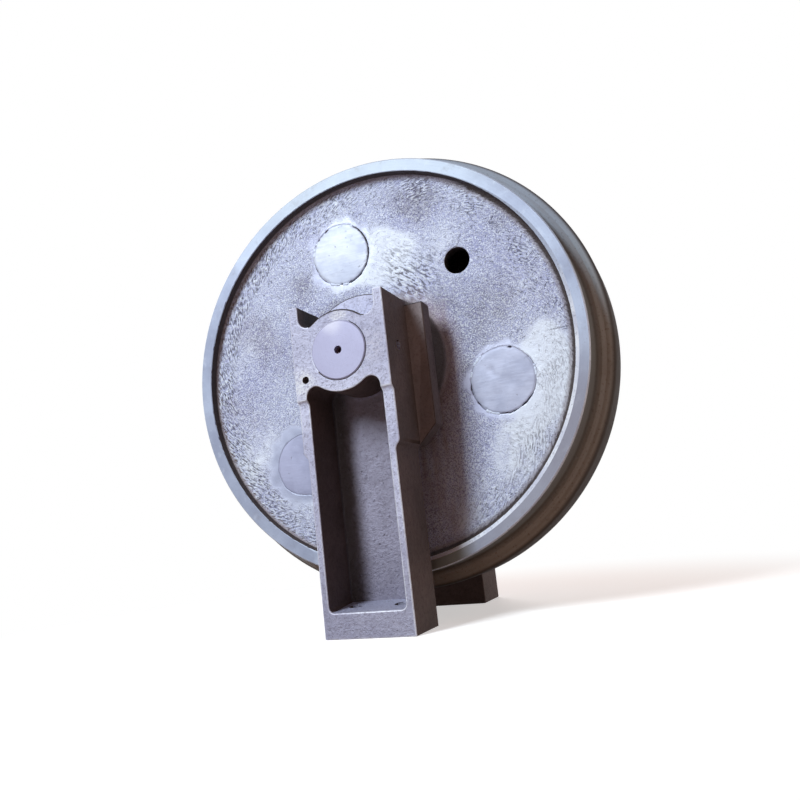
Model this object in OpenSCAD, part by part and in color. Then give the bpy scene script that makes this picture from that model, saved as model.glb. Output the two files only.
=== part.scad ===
// Front idler of a tracked excavator: a hollow cast wheel that turns on a fixed shaft,
// carried at each end by a cast bracket whose leg ends in a bolted foot.
// The origin is on the ground under the middle of the wheel. +Y runs along the shaft from
// the near bracket to the far one, and +Z is up.

/* [Wheel] */
// Diameter of the two treads that carry the track links
tread_d = 620; // [590:1:650]
// Diameter of the centre flange that runs between the links
flange_d = 670; // [655:1:710]
// Width of the wheel from rim face to rim face
wheel_w = 176; // [166:1:200]
// Width of the centre flange at its root
flange_w = 80; // [60:1:96]
// How much narrower each side of the flange gets towards its crown
flange_draft = 4; // [0:0.5:8]
// Rounding of the crown of the flange
flange_edge_r = 12; // [4:1:16]
// Fillet between tread and flange
tread_fillet_r = 8; // [2:1:10]
// Radial width of the machined rim face
rim_face_w = 19.5; // [14:0.5:26]
// Radial width of the bevel along the inside of the rim face
rim_lip_w = 4; // [1:0.5:8]
// Depth of that bevel
rim_lip_depth = 1.5; // [0.5:0.5:4]
// Chamfer along the outside of the rim face
rim_edge = 2; // [0.5:0.5:5]
// Depth of the web below the rim face, at the rim
web_recess = 15; // [8:1:24]
// How much deeper the dished web lies at the hub
web_dish = 14; // [4:1:20]
// Thickness of the webs
web_t = 22; // [16:1:28]
// Fillet between web and rim
web_fillet_r = 7; // [3:1:10]
// Thickness of the hollow rim under the treads
rim_t = 38; // [30:1:50]
// How far the hub ends stand back from the rim faces
hub_inset = 2; // [0:0.5:6]
// Wall of the hub around the seals
hub_wall = 19.5; // [14:0.5:26]
// Wall of the hub around the bushes, inside the hollow
hub_core_wall = 30; // [22:1:36]
// Flare between hub and web
hub_flare = 14; // [6:1:20]

/* [Core openings] */
// Diameter of the circle on which the core openings lie
core_circle_d = 382; // [360:1:400]
// Diameter of the plugged core openings
core_plug_d = 94; // [70:1:110]
// Number of plugged core openings in each web
core_plug_count = 3; // [2:1:4]
// Direction of the first plugged opening, from the right
core_plug_angle = 103; // [90:1:120]
// Height of a plug above the web
core_plug_proud = 0.8; // [0:0.2:2]
// Diameter of the open core hole in each web
core_hole_d = 38; // [24:1:48]

/* [Shaft] */
// Diameter of the shaft
shaft_d = 80; // [70:1:90]
// How far the shaft stands out of each bracket
shaft_proud = 1.5; // [0.5:0.5:6]
// Chamfer at the ends of the shaft
shaft_chamfer = 1.5; // [0.5:0.5:4]
// Diameter of the oil hole along the shaft
oil_hole_d = 11; // [9:0.5:14]
// Diameter of the cross hole that feeds the oil chamber
oil_cross_d = 8; // [5:0.5:10]
// Depth of the oil plug below the end of the shaft
oil_plug_recess = 6; // [2:0.5:12]
// Length of the oil plug
oil_plug_l = 12; // [8:1:20]
// Width across the corners of the oil plug's socket
oil_socket_d = 6.6; // [5:0.1:8]
// Section of the O-rings between shaft and brackets
oring_d = 4; // [3:0.5:5]
// Width of an O-ring groove in sections of the ring
oring_room = 1.3; // [1.1:0.1:1.6]
// Diameter of the pins that lock the brackets to the shaft
lock_pin_d = 14; // [10:1:18]
// Bore of the hollow lock pins
lock_pin_bore_d = 8; // [5:0.5:9]
// Width of the slot along a lock pin
lock_pin_slot = 2; // [1:0.5:3]
// How deep each lock pin reaches into the shaft
lock_pin_bite = 16; // [10:1:20]
// How deep each lock pin sits in the side of its bracket
lock_pin_recess = 10; // [2:1:14]

/* [Bushes and seals] */
// Wall of the bushes
bush_t = 7; // [5:0.5:10]
// Thickness of the thrust collar of a bush
bush_collar_t = 6; // [4:0.5:9]
// How far the thrust collar reaches past the bracket nose
bush_collar_reach = 2; // [1:0.5:3]
// How far the bushes lie behind the floor of the seal seat
bush_setback = 5; // [2:0.5:8]
// Half length of the oil chamber between the bushes
chamber_half = 14; // [8:1:20]
// Depth of the oil chamber behind the bushes
chamber_depth = 7; // [3:1:10]
// Wall of the bracket nose that runs inside the seal
nose_t = 12; // [8:0.5:16]
// Room between bracket nose and seal rings
seal_room = 4.5; // [3:0.5:6]
// Radial width of the sealing faces
seal_face_w = 13.5; // [10:0.5:16]
// Thickness of the sealing flange of a seal ring
seal_face_t = 4; // [3:0.5:6]
// Radial room around the sealing flange
seal_flange_room = 2.5; // [1.5:0.5:4]
// Step from the sealing flange down to the toric ramp
seal_step = 3.5; // [2:0.5:5]
// Length of a seal ring
seal_l = 13; // [11:0.5:16]
// Wall of a seal ring at its tail
seal_tail_t = 5; // [4:0.5:7]
// Room behind the tail of a seal ring
seal_tail_room = 2; // [1.5:0.5:4]
// Section of the rubber toric rings
toric_d = 8.4; // [7.5:0.1:9.5]
// Gap between the hub and the bracket, bridged by the seal
seal_gap = 4; // [3:0.5:8]

/* [Bracket] */
// Height of the shaft axis above the underside of the feet
axle_h = 375; // [345:1:400]
// Width of the head across the horns
head_w = 141; // [130:1:160]
// Height of the horns above the shaft axis
head_top = 72.5; // [64:0.5:90]
// Thickness of the horns
horn_t = 13; // [8:0.5:15]
// Wall around the shaft in the head
ring_t = 16; // [12:0.5:20]
// Rounding of the gaps beside the ring
lobe_r = 13.5; // [8:0.5:15]
// Width of the leg
leg_w = 128; // [118:1:136]
// Depth of the leg from back to front
leg_depth = 81; // [66:1:100]
// Walls of the leg beside the pocket
leg_wall = 9.5; // [7:0.5:14]
// Thickness of the pocket floor
pocket_floor_t = 10; // [8:0.5:16]
// Rounding of the lower pocket corners
pocket_corner_r = 8; // [3:0.5:14]
// Rise of the pocket's lower ledge towards the floor
ledge_rise = 6; // [2:0.5:12]
// Height of the foot bar below the pocket
foot_h = 33; // [24:1:44]
// How far the head pad stands in front of the leg
pad_step = 6; // [3:0.5:10]
// Lower edge of the head pad below the shaft axis
pad_drop = 59.5; // [50:0.5:80]
// Level where the head starts to narrow into the leg, below the shaft axis
neck_drop = 128; // [115:1:160]
// Height of the narrowing
neck_h = 15; // [13:1:24]
// Width of the guide plate behind the head
guide_w = 193; // [180:1:210]
// Thickness of the guide plate
guide_t = 28; // [24:1:36]
// Shoulder of the guide plate above the shaft axis
guide_top = 66; // [56:1:80]
// Lower corner of the guide plate below the shaft axis
guide_drop = 107; // [90:1:112]
// How far the back of the leg lies in front of the back of the guide plate
leg_setback = 22; // [16:1:24]
// Diameter of the bolt holes in each foot
foot_bolt_d = 22; // [16:1:26]
// Spacing of the bolt holes in each foot
foot_bolt_pitch = 66; // [50:1:72]
// Core diameter of the tapped hole in the head
tap_d = 10.2; // [6.8:0.1:12]
// Depth of the tapped hole
tap_depth = 30; // [15:1:45]
// Distance of the tapped hole from the side of the head
tap_inset = 17; // [12:0.5:20]
// Distance of the tapped hole below the shaft axis
tap_drop = 32; // [26:0.5:34]
// Chamfer around the shaft at the front of the head
bore_chamfer = 1.2; // [0.5:0.1:3]

/* [Clearances] */
// Radial clearance of the shaft in the bushes
running_gap = 0.06; // [0.03:0.01:0.1]
// Radial clearance of pieces that are fitted and stay put
seat_gap = 0.03; // [0.01:0.01:0.05]
// End play between bush collars and brackets
thrust_gap = 0.4; // [0.3:0.05:1]
// Film between the sealing faces
film_gap = 0.1; // [0.05:0.05:0.2]
// Clearance around rubber rings and welded plugs
soft_gap = 0.1; // [0.05:0.05:0.3]

/* [Hidden] */
$fn = 128;
SIDES = ["near", "far"];
// Overlap that joins shapes of one casting, and overshoot of cuts
lap = 2;
// Steps along a rounded stretch of an outline
arc_steps = 8;

// Radii of the wheel
tread_r = tread_d / 2;
flange_r = flange_d / 2;
rim_in_r = tread_r - rim_face_w;
rim_root_r = rim_in_r - web_fillet_r;
flange_h = flange_r - tread_r;
crown_r = min(flange_edge_r, flange_h * 0.55);
tread_root_r = min(tread_fillet_r, flange_h * 0.4);

// Radii around the shaft, from the inside out
shaft_r = shaft_d / 2;
bracket_bore_r = shaft_r + seat_gap;
bush_bore_r = shaft_r + running_gap;
bush_r = bush_bore_r + bush_t;
bush_seat_r = bush_r + seat_gap;
chamber_r = bush_seat_r + chamber_depth;
nose_r = shaft_r + nose_t;
bush_collar_r = nose_r + bush_collar_reach;
collar_seat_r = bush_collar_r + soft_gap;
seal_bore_r = nose_r + seal_room;
seal_face_r = seal_bore_r + seal_face_w;
seal_tail_r = seal_bore_r + seal_tail_t;
seal_seat_r = seal_face_r + seal_flange_room;
hub_r = seal_seat_r + hub_wall;
hub_root_r = hub_r + hub_flare;
core_in_r = bush_seat_r + hub_core_wall;
core_out_r = tread_r - rim_t;
core_plug_r = core_plug_d / 2 - soft_gap;
core_hole_angle = core_plug_angle - 180 / core_plug_count;

// Distances from the middle of the wheel outwards along the shaft
rim_face_a = wheel_w / 2;
hub_face_a = rim_face_a - hub_inset;
web_rim_a = rim_face_a - web_recess;
web_hub_a = web_rim_a - web_dish;
guide_back_a = hub_face_a + seal_gap;
guide_front_a = guide_back_a + guide_t;
seal_plane_a = hub_face_a + seal_gap / 2;
seal_seat_depth = seal_l + seal_tail_room;
seal_floor_a = seal_plane_a - seal_seat_depth;
bush_face_a = seal_floor_a - bush_setback;
collar_seat_a = bush_face_a - bush_collar_t;
nose_tip_a = bush_face_a + thrust_gap;
leg_back_a = guide_back_a + leg_setback;
pocket_floor_a = leg_back_a + pocket_floor_t;
leg_front_a = leg_back_a + leg_depth;
pad_front_a = leg_front_a + pad_step;
shaft_end_a = pad_front_a + shaft_proud;
oring_a = guide_front_a;
lock_pin_a = (guide_front_a + pad_front_a) / 2;
foot_mid_a = (leg_back_a + leg_front_a) / 2;

// Half widths and levels of the bracket
head_half = head_w / 2;
leg_half = leg_w / 2;
guide_half = guide_w / 2;
ring_r = shaft_r + ring_t;
pocket_end = axle_h - foot_h;

// The ramp that a toric ring rides on, and where the ring then lies
ramp_r = seal_face_r - seal_step;
ramp_angle = atan2(ramp_r - seal_tail_r, seal_l - seal_face_t);
toric_r = toric_d / 2;
toric_pitch_r = seal_seat_r - soft_gap - toric_r;
toric_depth = seal_face_t
    + (toric_r + soft_gap - (toric_pitch_r - ramp_r) * cos(ramp_angle)) / sin(ramp_angle);

// Groove of the O-ring between shaft and bracket
oring_floor_r = bracket_bore_r - oring_d - 2 * soft_gap;
oring_groove_w = oring_d * oring_room;

PLUGS = [for (side = SIDES) for (i = [1:core_plug_count]) str(side, "_core_plug_", i)];
PAIRED = ["bracket", "lock_pin", "bush", "turning_seal", "fixed_seal",
    "turning_toric", "fixed_toric", "shaft_oring"];

// Points along an arc, from one direction to another
function arc(cx, cy, r, from, to) =
    [for (i = [0:arc_steps])
        let (t = from + (to - from) * i / arc_steps)
        [cx + r * cos(t), cy + r * sin(t)]];

// An outline [radius, distance] mirrored to both sides of the wheel's middle
function both_sides(half) =
    concat(half, [for (i = [len(half) - 1:-1:0]) [half[i][0], -half[i][1]]]);

// The dished outer face of a web at a given radius
function web_face(r) =
    web_rim_a - web_dish * (rim_root_r - r) / (rim_root_r - hub_root_r);

// Each side is drawn with X to the right, Y up and Z outwards along the shaft.
// The far side is the near side turned half round.
module at_side(side) {
    translate([0, 0, axle_h])
        rotate([0, 0, side == "near" ? 0 : 180])
            rotate([90, 0, 0])
                children();
}

// A prism across the bracket, from an outline of [height, distance outwards]
module across(width, outline) {
    translate([-width / 2, 0, 0])
        rotate([90, 0, 90])
            linear_extrude(width)
                polygon(outline);
}

// Hollow cast wheel

function wheel_outline() = both_sides(concat(
    [
        [chamber_r, chamber_half],
        [bush_seat_r, chamber_half],
        [bush_seat_r, collar_seat_a],
        [collar_seat_r, collar_seat_a],
        [collar_seat_r, seal_floor_a],
        [seal_seat_r, seal_floor_a],
        [seal_seat_r, hub_face_a],
        [hub_r - rim_edge, hub_face_a],
        [hub_r, hub_face_a - rim_edge],
        [hub_r, web_hub_a + hub_flare],
        [hub_root_r, web_hub_a]
    ],
    arc(rim_root_r, web_rim_a + web_fillet_r, web_fillet_r, -90, 0),
    [
        [rim_in_r, rim_face_a - rim_lip_depth],
        [rim_in_r + rim_lip_w, rim_face_a],
        [tread_r - rim_edge, rim_face_a],
        [tread_r, rim_face_a - rim_edge]
    ],
    arc(tread_r + tread_root_r, flange_w / 2 + tread_root_r, tread_root_r, 180, 270),
    arc(flange_r - crown_r, flange_w / 2 - flange_draft - crown_r, crown_r, 90, 0)
));

function core_outline() =
    let (corner = web_t / 2)
    both_sides([
        [core_in_r, web_hub_a - web_t],
        [hub_root_r, web_hub_a - web_t],
        [core_out_r - corner, web_face(core_out_r - corner) - web_t],
        [core_out_r, web_face(core_out_r - corner) - web_t - corner]
    ]);

module core_opening(angle, r) {
    rotate([0, 0, angle])
        translate([core_circle_d / 2, 0, chamber_half])
            cylinder(r = r, h = rim_face_a);
}

module idler_wheel() {
    color("lightsteelblue")
        difference() {
            at_side("near")
                rotate_extrude()
                    polygon(wheel_outline());
            at_side("near")
                rotate_extrude()
                    polygon(core_outline());
            for (side = SIDES)
                at_side(side) {
                    for (i = [1:core_plug_count])
                        core_opening(core_plug_angle + (i - 1) * 360 / core_plug_count, core_plug_d / 2);
                    core_opening(core_hole_angle, core_hole_d / 2);
                }
        }
}

// A plug follows the dish of the web, a little proud of it
module core_plug(side, i) {
    color("gainsboro")
        at_side(side)
            intersection() {
                core_opening(core_plug_angle + (i - 1) * 360 / core_plug_count, core_plug_r);
                rotate_extrude()
                    polygon([
                        [hub_root_r, web_hub_a - web_t + soft_gap],
                        [hub_root_r, web_hub_a + core_plug_proud],
                        [rim_root_r, web_rim_a + core_plug_proud],
                        [rim_root_r, web_rim_a - web_t + soft_gap]
                    ]);
            }
}

// Shaft and what is fitted to it

function shaft_outline() = both_sides([
    [0, shaft_end_a],
    [shaft_r - shaft_chamfer, shaft_end_a],
    [shaft_r, shaft_end_a - shaft_chamfer],
    [shaft_r, oring_a + oring_groove_w / 2],
    [oring_floor_r, oring_a + oring_groove_w / 2],
    [oring_floor_r, oring_a - oring_groove_w / 2],
    [shaft_r, oring_a - oring_groove_w / 2]
]);

// A rod along the lock pin's axis, from one distance off the shaft axis to another
module lock_pin_rod(r, from, to) {
    translate([from, 0, lock_pin_a])
        rotate([0, 90, 0])
            cylinder(r = r, h = to - from);
}

module shaft() {
    color("silver")
        difference() {
            at_side("near")
                rotate_extrude()
                    polygon(shaft_outline());
            at_side("near") {
                translate([0, 0, -oil_cross_d])
                    cylinder(d = oil_hole_d, h = shaft_end_a + oil_cross_d + lap);
                rotate([-90, 0, 0])
                    cylinder(d = oil_cross_d, h = shaft_r + lap);
            }
            for (side = SIDES)
                at_side(side)
                    lock_pin_rod(lock_pin_d / 2, shaft_r - lock_pin_bite - thrust_gap, shaft_r + lap);
        }
}

module oil_plug() {
    color("indianred")
        at_side("near")
            translate([0, 0, shaft_end_a - oil_plug_recess - oil_plug_l])
                difference() {
                    cylinder(d = oil_hole_d - 2 * seat_gap, h = oil_plug_l);
                    translate([0, 0, oil_plug_l / 2])
                        cylinder(d = oil_socket_d, h = oil_plug_l, $fn = 6);
                }
}

// A slotted spring pin
module lock_pin(side) {
    from = shaft_r - lock_pin_bite;
    to = head_half - lock_pin_recess;
    color("dimgray")
        at_side(side)
            difference() {
                lock_pin_rod(lock_pin_d / 2 - seat_gap, from, to);
                lock_pin_rod(lock_pin_bore_d / 2, from - lap, to + lap);
                translate([from - lap, -lock_pin_slot / 2, lock_pin_a])
                    cube([to - from + 2 * lap, lock_pin_slot, lock_pin_d]);
            }
}

module shaft_oring(side) {
    color("black")
        at_side(side)
            rotate_extrude()
                translate([oring_floor_r + soft_gap + oring_d / 2, oring_a])
                    circle(d = oring_d);
}

// Bushes and floating seals

module bush(side) {
    color("peru")
        at_side(side)
            rotate_extrude()
                polygon([
                    [bush_bore_r, chamber_half],
                    [bush_r, chamber_half],
                    [bush_r, collar_seat_a],
                    [bush_collar_r, collar_seat_a],
                    [bush_collar_r, bush_face_a],
                    [bush_bore_r, bush_face_a]
                ]);
}

// The two rings of a seal face each other across the sealing plane
module seal_half(side, half) {
    at_side(side)
        translate([0, 0, seal_plane_a])
            mirror([0, 0, half == "turning" ? 1 : 0])
                children();
}

module seal_ring(side, half) {
    color("slategray")
        seal_half(side, half)
            rotate_extrude()
                polygon([
                    [seal_bore_r, film_gap / 2],
                    [seal_face_r, film_gap / 2],
                    [seal_face_r, seal_face_t],
                    [ramp_r, seal_face_t],
                    [seal_tail_r, seal_l],
                    [seal_bore_r, seal_l]
                ]);
}

module toric(side, half) {
    color("black")
        seal_half(side, half)
            rotate_extrude()
                translate([toric_pitch_r, toric_depth])
                    circle(d = toric_d);
}

// Cast bracket

// Outline of head and leg, with an S-shaped narrowing between them
function body_outline() =
    let (
        inset = head_half - leg_half,
        bend_r = (inset * inset + neck_h * neck_h) / (4 * inset),
        bend = asin(neck_h / (2 * bend_r)),
        right = concat(
            [[head_half, head_top]],
            arc(head_half - bend_r, -neck_drop, bend_r, 0, -bend),
            arc(leg_half + bend_r, -neck_drop - neck_h, bend_r, 180 - bend, 180),
            [[leg_half, -axle_h]]
        )
    )
    concat(right, [for (i = [len(right) - 1:-1:0]) [-right[i][0], right[i][1]]]);

// The open space beside and past the shaft ring, up to a given level:
// two round lobes that run smoothly into the ring
module ring_gap(half_w, end) {
    lobe_x = half_w - lobe_r;
    lobe_y = sqrt(pow(ring_r + lobe_r, 2) - pow(lobe_x, 2));
    meet = atan2(lobe_y, lobe_x);
    corner_x = half_w - pocket_corner_r;
    corner_y = end - pocket_corner_r;
    polygon(concat(
        arc(corner_x, corner_y, pocket_corner_r, 90, 0),
        arc(lobe_x, lobe_y, lobe_r, 0, meet - 180),
        arc(0, 0, ring_r, meet, 180 - meet),
        arc(-lobe_x, lobe_y, lobe_r, -meet, -180),
        arc(-corner_x, corner_y, pocket_corner_r, 180, 90)
    ));
}

// Guide plate: a round collar about the shaft with square shoulders and chamfered lower corners
module guide_outline() {
    circle(r = guide_half);
    chamfer = guide_half - head_half;
    polygon([
        [-guide_half, guide_top],
        [guide_half, guide_top],
        [guide_half, -guide_drop],
        [head_half, -guide_drop - chamfer],
        [-head_half, -guide_drop - chamfer],
        [-guide_half, -guide_drop]
    ]);
}

module bracket_casting() {
    translate([0, 0, leg_back_a])
        linear_extrude(leg_depth)
            polygon(body_outline());
    across(head_w, [
        [-pad_drop - pad_step - lap, leg_front_a - lap],
        [-pad_drop - pad_step, leg_front_a],
        [-pad_drop, pad_front_a],
        [head_top, pad_front_a],
        [head_top, leg_front_a - lap]
    ]);
    translate([0, 0, guide_back_a])
        linear_extrude(guide_t)
            guide_outline();
    translate([0, 0, nose_tip_a])
        cylinder(r = nose_r, h = guide_front_a - nose_tip_a);
}

module bracket_cuts() {
    reach = pad_front_a - guide_front_a + lap;
    translate([0, 0, guide_front_a])
        linear_extrude(reach)
            ring_gap(head_half - horn_t, head_top + pocket_corner_r + lap);
    difference() {
        translate([0, 0, pocket_floor_a])
            linear_extrude(reach)
                mirror([0, 1])
                    ring_gap(leg_half - leg_wall, pocket_end);
        across(leg_w, [
            [-pocket_end - lap, leg_front_a],
            [-pocket_end - lap, pocket_floor_a - lap],
            [-pocket_end + ledge_rise, pocket_floor_a - lap],
            [-pocket_end + ledge_rise, pocket_floor_a],
            [-pocket_end, leg_front_a]
        ]);
    }
    rotate_extrude()
        polygon([
            [nose_r, nose_tip_a - lap],
            [seal_seat_r, nose_tip_a - lap],
            [seal_seat_r, seal_plane_a + seal_seat_depth],
            [nose_r, seal_plane_a + seal_seat_depth]
        ]);
    rotate_extrude()
        polygon([
            [0, nose_tip_a - lap],
            [bracket_bore_r, nose_tip_a - lap],
            [bracket_bore_r, pad_front_a - bore_chamfer],
            [bracket_bore_r + bore_chamfer + lap, pad_front_a + lap],
            [0, pad_front_a + lap]
        ]);
    lock_pin_rod(lock_pin_d / 2, shaft_r - lap, head_half + lap);
    translate([tap_inset - head_half, -tap_drop, pad_front_a - tap_depth])
        cylinder(d = tap_d, h = tap_depth + lap);
    for (s = [-1, 1])
        translate([s * foot_bolt_pitch / 2, -axle_h - lap, foot_mid_a])
            rotate([-90, 0, 0])
                cylinder(d = foot_bolt_d, h = foot_h + ledge_rise + 2 * lap);
}

module bracket(side) {
    color("thistle")
        at_side(side)
            difference() {
                bracket_casting();
                bracket_cuts();
            }
}

idler_wheel();
shaft();
oil_plug();
for (side = SIDES) {
    bracket(side);
    lock_pin(side);
    bush(side);
    seal_ring(side, "turning");
    seal_ring(side, "fixed");
    toric(side, "turning");
    toric(side, "fixed");
    shaft_oring(side);
    for (i = [1:core_plug_count])
        core_plug(side, i);
}
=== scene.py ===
# %% [markdown]
# # Dressing an excavator front idler
# The front idler is the big wheel that the track runs round at the front of an excavator. It is a hollow
# iron casting on a fixed shaft, and a cast bracket at each end of the shaft slides in the track frame.
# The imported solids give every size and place. This script gives them the skin of the real thing: wrinkled
# cast webs, a turned rim, ground-down welds, a sandy bracket, and rust-brown flanks.

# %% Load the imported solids
import itertools
import math

import bmesh
import bpy
import numpy as np
from mathutils import Matrix, Vector


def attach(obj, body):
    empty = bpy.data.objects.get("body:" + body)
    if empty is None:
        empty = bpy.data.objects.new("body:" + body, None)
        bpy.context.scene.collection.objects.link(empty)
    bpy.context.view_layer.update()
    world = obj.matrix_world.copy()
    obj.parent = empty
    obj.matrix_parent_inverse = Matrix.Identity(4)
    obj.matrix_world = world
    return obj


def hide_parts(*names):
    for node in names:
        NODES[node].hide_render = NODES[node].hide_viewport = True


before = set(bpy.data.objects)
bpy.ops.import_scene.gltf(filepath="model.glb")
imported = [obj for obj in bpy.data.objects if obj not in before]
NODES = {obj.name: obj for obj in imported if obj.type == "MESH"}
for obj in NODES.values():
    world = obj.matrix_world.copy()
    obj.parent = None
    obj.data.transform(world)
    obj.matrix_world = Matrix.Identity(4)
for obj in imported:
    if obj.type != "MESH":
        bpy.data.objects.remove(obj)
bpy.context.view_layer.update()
MM = 0.001
AXLE = Vector((0.0, 0.0, 0.375))

# %% [markdown]
# ## The camera
# The photograph was taken from the right of the wheel and from below its shaft, with the camera held a
# little crooked. The place, the aim, the roll and the lens were worked out from the ellipses of the rim and
# the corners of the bracket. A camera looks along its own -Z, so its axes are built from the aim.

# %% Camera
CAMERA_AT = Vector((0.41685, -1.0563, 0.1345))
CAMERA_AIM = Vector((-0.04678, -0.01736, 0.31728))
CAMERA_ROLL = 0.1071

ahead = (CAMERA_AIM - CAMERA_AT).normalized()
level_right = ahead.cross(Vector((0, 0, 1))).normalized()
level_up = level_right.cross(ahead)
camera_right = math.cos(CAMERA_ROLL) * level_right - math.sin(CAMERA_ROLL) * level_up
camera_up = math.sin(CAMERA_ROLL) * level_right + math.cos(CAMERA_ROLL) * level_up

lens = bpy.data.cameras.new("camera")
lens.sensor_width = 36
lens.lens = 33.015
lens.shift_x = 0.0394
lens.shift_y = 0.0145
camera = bpy.data.objects.new("camera", lens)
camera_axes = Matrix((camera_right, camera_up, -ahead)).transposed().to_4x4()
camera.matrix_world = Matrix.Translation(CAMERA_AT) @ camera_axes
bpy.context.scene.collection.objects.link(camera)
bpy.context.scene.camera = camera
print("camera", tuple(round(v, 3) for v in camera.location))

# %% [markdown]
# ## Writing a finish as sums
# A finish is a node tree, but a tree is hard to read as a list of links. Here one small class wraps a socket
# so that Python's own operators add the Math nodes, and one method makes any other node. A finish then reads
# like a recipe: mix this colour into that one, as far as this mask says.


# %% A socket that does sums
class Sock:
    """A value on its way through a material."""

    def __init__(self, finish, socket):
        self.finish = finish
        self.socket = socket

    def maths(self, operation, first, second, clamp=False):
        settings = {"operation": operation, "use_clamp": clamp}
        return self.finish.node("ShaderNodeMath", settings, {0: first, 1: second})

    def __add__(self, other):
        return self.maths("ADD", self, other)

    def __radd__(self, other):
        return self.maths("ADD", other, self)

    def __sub__(self, other):
        return self.maths("SUBTRACT", self, other)

    def __rsub__(self, other):
        return self.maths("SUBTRACT", other, self)

    def __mul__(self, other):
        return self.maths("MULTIPLY", self, other)

    def __rmul__(self, other):
        return self.maths("MULTIPLY", other, self)

    def clipped(self):
        return self.maths("ADD", self, 0.0, clamp=True)


def tone(red, green, blue):
    """A colour as a picture editor shows it, turned into the linear one that a shader wants."""
    linear = []
    for part in (red, green, blue):
        share = part / 255
        linear.append(share / 12.92 if share <= 0.04045 else ((share + 0.055) / 1.055) ** 2.4)
    return (*linear, 1.0)


# %% A finish and its few moves
class Finish:
    """One material, written as a recipe."""

    def __init__(self, name):
        self.material = bpy.data.materials.new(name)
        self.material.use_nodes = True
        self.tree = self.material.node_tree
        self.tree.nodes.clear()
        self.place = self.node("ShaderNodeTexCoord", out="Object")

    def node(self, kind, settings=None, sockets=None, out=0):
        made = self.tree.nodes.new(kind)
        for name, value in (settings or {}).items():
            setattr(made, name, value)
        for name, value in (sockets or {}).items():
            if isinstance(value, Sock):
                self.tree.links.new(value.socket, made.inputs[name])
            else:
                made.inputs[name].default_value = value
        return Sock(self, made.outputs[out]) if made.outputs else None

    def attribute(self, name, out="Fac"):
        return self.node("ShaderNodeAttribute", {"attribute_name": name}, out=out)

    def stretched(self, x, y, z):
        """Object coordinates, pulled out so that a grain can run along one way."""
        return self.node("ShaderNodeMapping", None, {"Vector": self.place, "Scale": (x, y, z)})

    def noise(self, scale, detail=3.0, rough=0.55, place=None, twist=0.0):
        sockets = {"Vector": place or self.place, "Scale": scale, "Detail": detail, "Roughness": rough}
        sockets["Distortion"] = twist
        return self.node("ShaderNodeTexNoise", None, sockets)

    def cells(self, scale):
        return self.node("ShaderNodeTexVoronoi", None, {"Vector": self.place, "Scale": scale}, out="Distance")

    def between(self, value, low, high):
        """0 below low, 1 above high, and a soft step between them."""
        sockets = {"Value": value, "From Min": low, "From Max": high}
        settings = {"interpolation_type": "SMOOTHSTEP"}
        return self.node("ShaderNodeMapRange", settings, sockets)

    def mixed(self, share, first, second):
        sockets = {0: share, 6: first, 7: second}
        return self.node("ShaderNodeMix", {"data_type": "RGBA"}, sockets, out=2)

    def radius(self):
        """Distance from the axle, for finishes that were turned on a lathe."""
        centred = self.node("ShaderNodeVectorMath", {"operation": "SUBTRACT"}, {0: self.place, 1: AXLE})
        flat = self.node("ShaderNodeVectorMath", {"operation": "MULTIPLY"}, {0: centred, 1: (1, 0, 1)})
        return self.node("ShaderNodeVectorMath", {"operation": "LENGTH"}, {0: flat}, out="Value")

    def distance(self, centre):
        """How far a point of the surface is from a fixed point."""
        settings = {"operation": "DISTANCE"}
        return self.node("ShaderNodeVectorMath", settings, {0: self.place, 1: centre}, out="Value")

    def turned(self, degrees, along, across):
        """Coordinates turned in the plane of the wheel, in steps of so many metres along and across."""
        settings = {"vector_type": "TEXTURE"}
        sockets = {"Vector": self.place, "Scale": (along, 0.05, across)}
        sockets["Rotation"] = (0, math.radians(degrees), 0)
        return self.node("ShaderNodeMapping", settings, sockets)

    def apart(self, value, level):
        """How far a value is from a level, either way. Small along the lines where it crosses the level."""
        return self.node("ShaderNodeMath", {"operation": "ABSOLUTE"}, {0: value - level})

    def along(self, axis):
        return self.node("ShaderNodeSeparateXYZ", None, {0: self.place}, out=axis)

    def rings(self, per_metre):
        """Fine turning marks: a random value that changes with the radius alone."""
        sockets = {"W": self.radius(), "Scale": per_metre, "Detail": 2.0}
        return self.node("ShaderNodeTexNoise", {"noise_dimensions": "1D"}, sockets)

    def bump(self, height, depth, strength=1.0):
        sockets = {"Height": height, "Distance": depth, "Strength": strength}
        return self.node("ShaderNodeBump", None, sockets)

    def done(self, colour, roughness, normal=None, metallic=0.0, gloss=0.5):
        sockets = {"Base Color": colour, "Roughness": roughness, "Metallic": metallic}
        sockets["Specular IOR Level"] = gloss
        if normal is not None:
            sockets["Normal"] = normal
        surface = self.node("ShaderNodeBsdfPrincipled", None, sockets)
        self.node("ShaderNodeOutputMaterial", None, {"Surface": surface})
        print("finish", self.material.name)
        return self.material


# %% [markdown]
# ## The studio
# The object stands on a pale floor in front of a white backdrop. The floor and the world are white only for
# the rays that the camera or a reflection sees. For the light that they throw back at the object they are
# dim and a little warm, so the side away from the lamp stays as dark as it is in a workshop doorway.

# %% Floor
FLOOR_HALF = 9.0

floor_mesh = bpy.data.meshes.new("floor")
floor_corners = [(-FLOOR_HALF, -FLOOR_HALF, 0), (FLOOR_HALF, -FLOOR_HALF, 0)]
floor_corners += [(FLOOR_HALF, FLOOR_HALF, 0), (-FLOOR_HALF, FLOOR_HALF, 0)]
floor_mesh.from_pydata(floor_corners, [], [(0, 1, 2, 3)])
floor = bpy.data.objects.new("floor", floor_mesh)
bpy.context.scene.collection.objects.link(floor)


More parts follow.
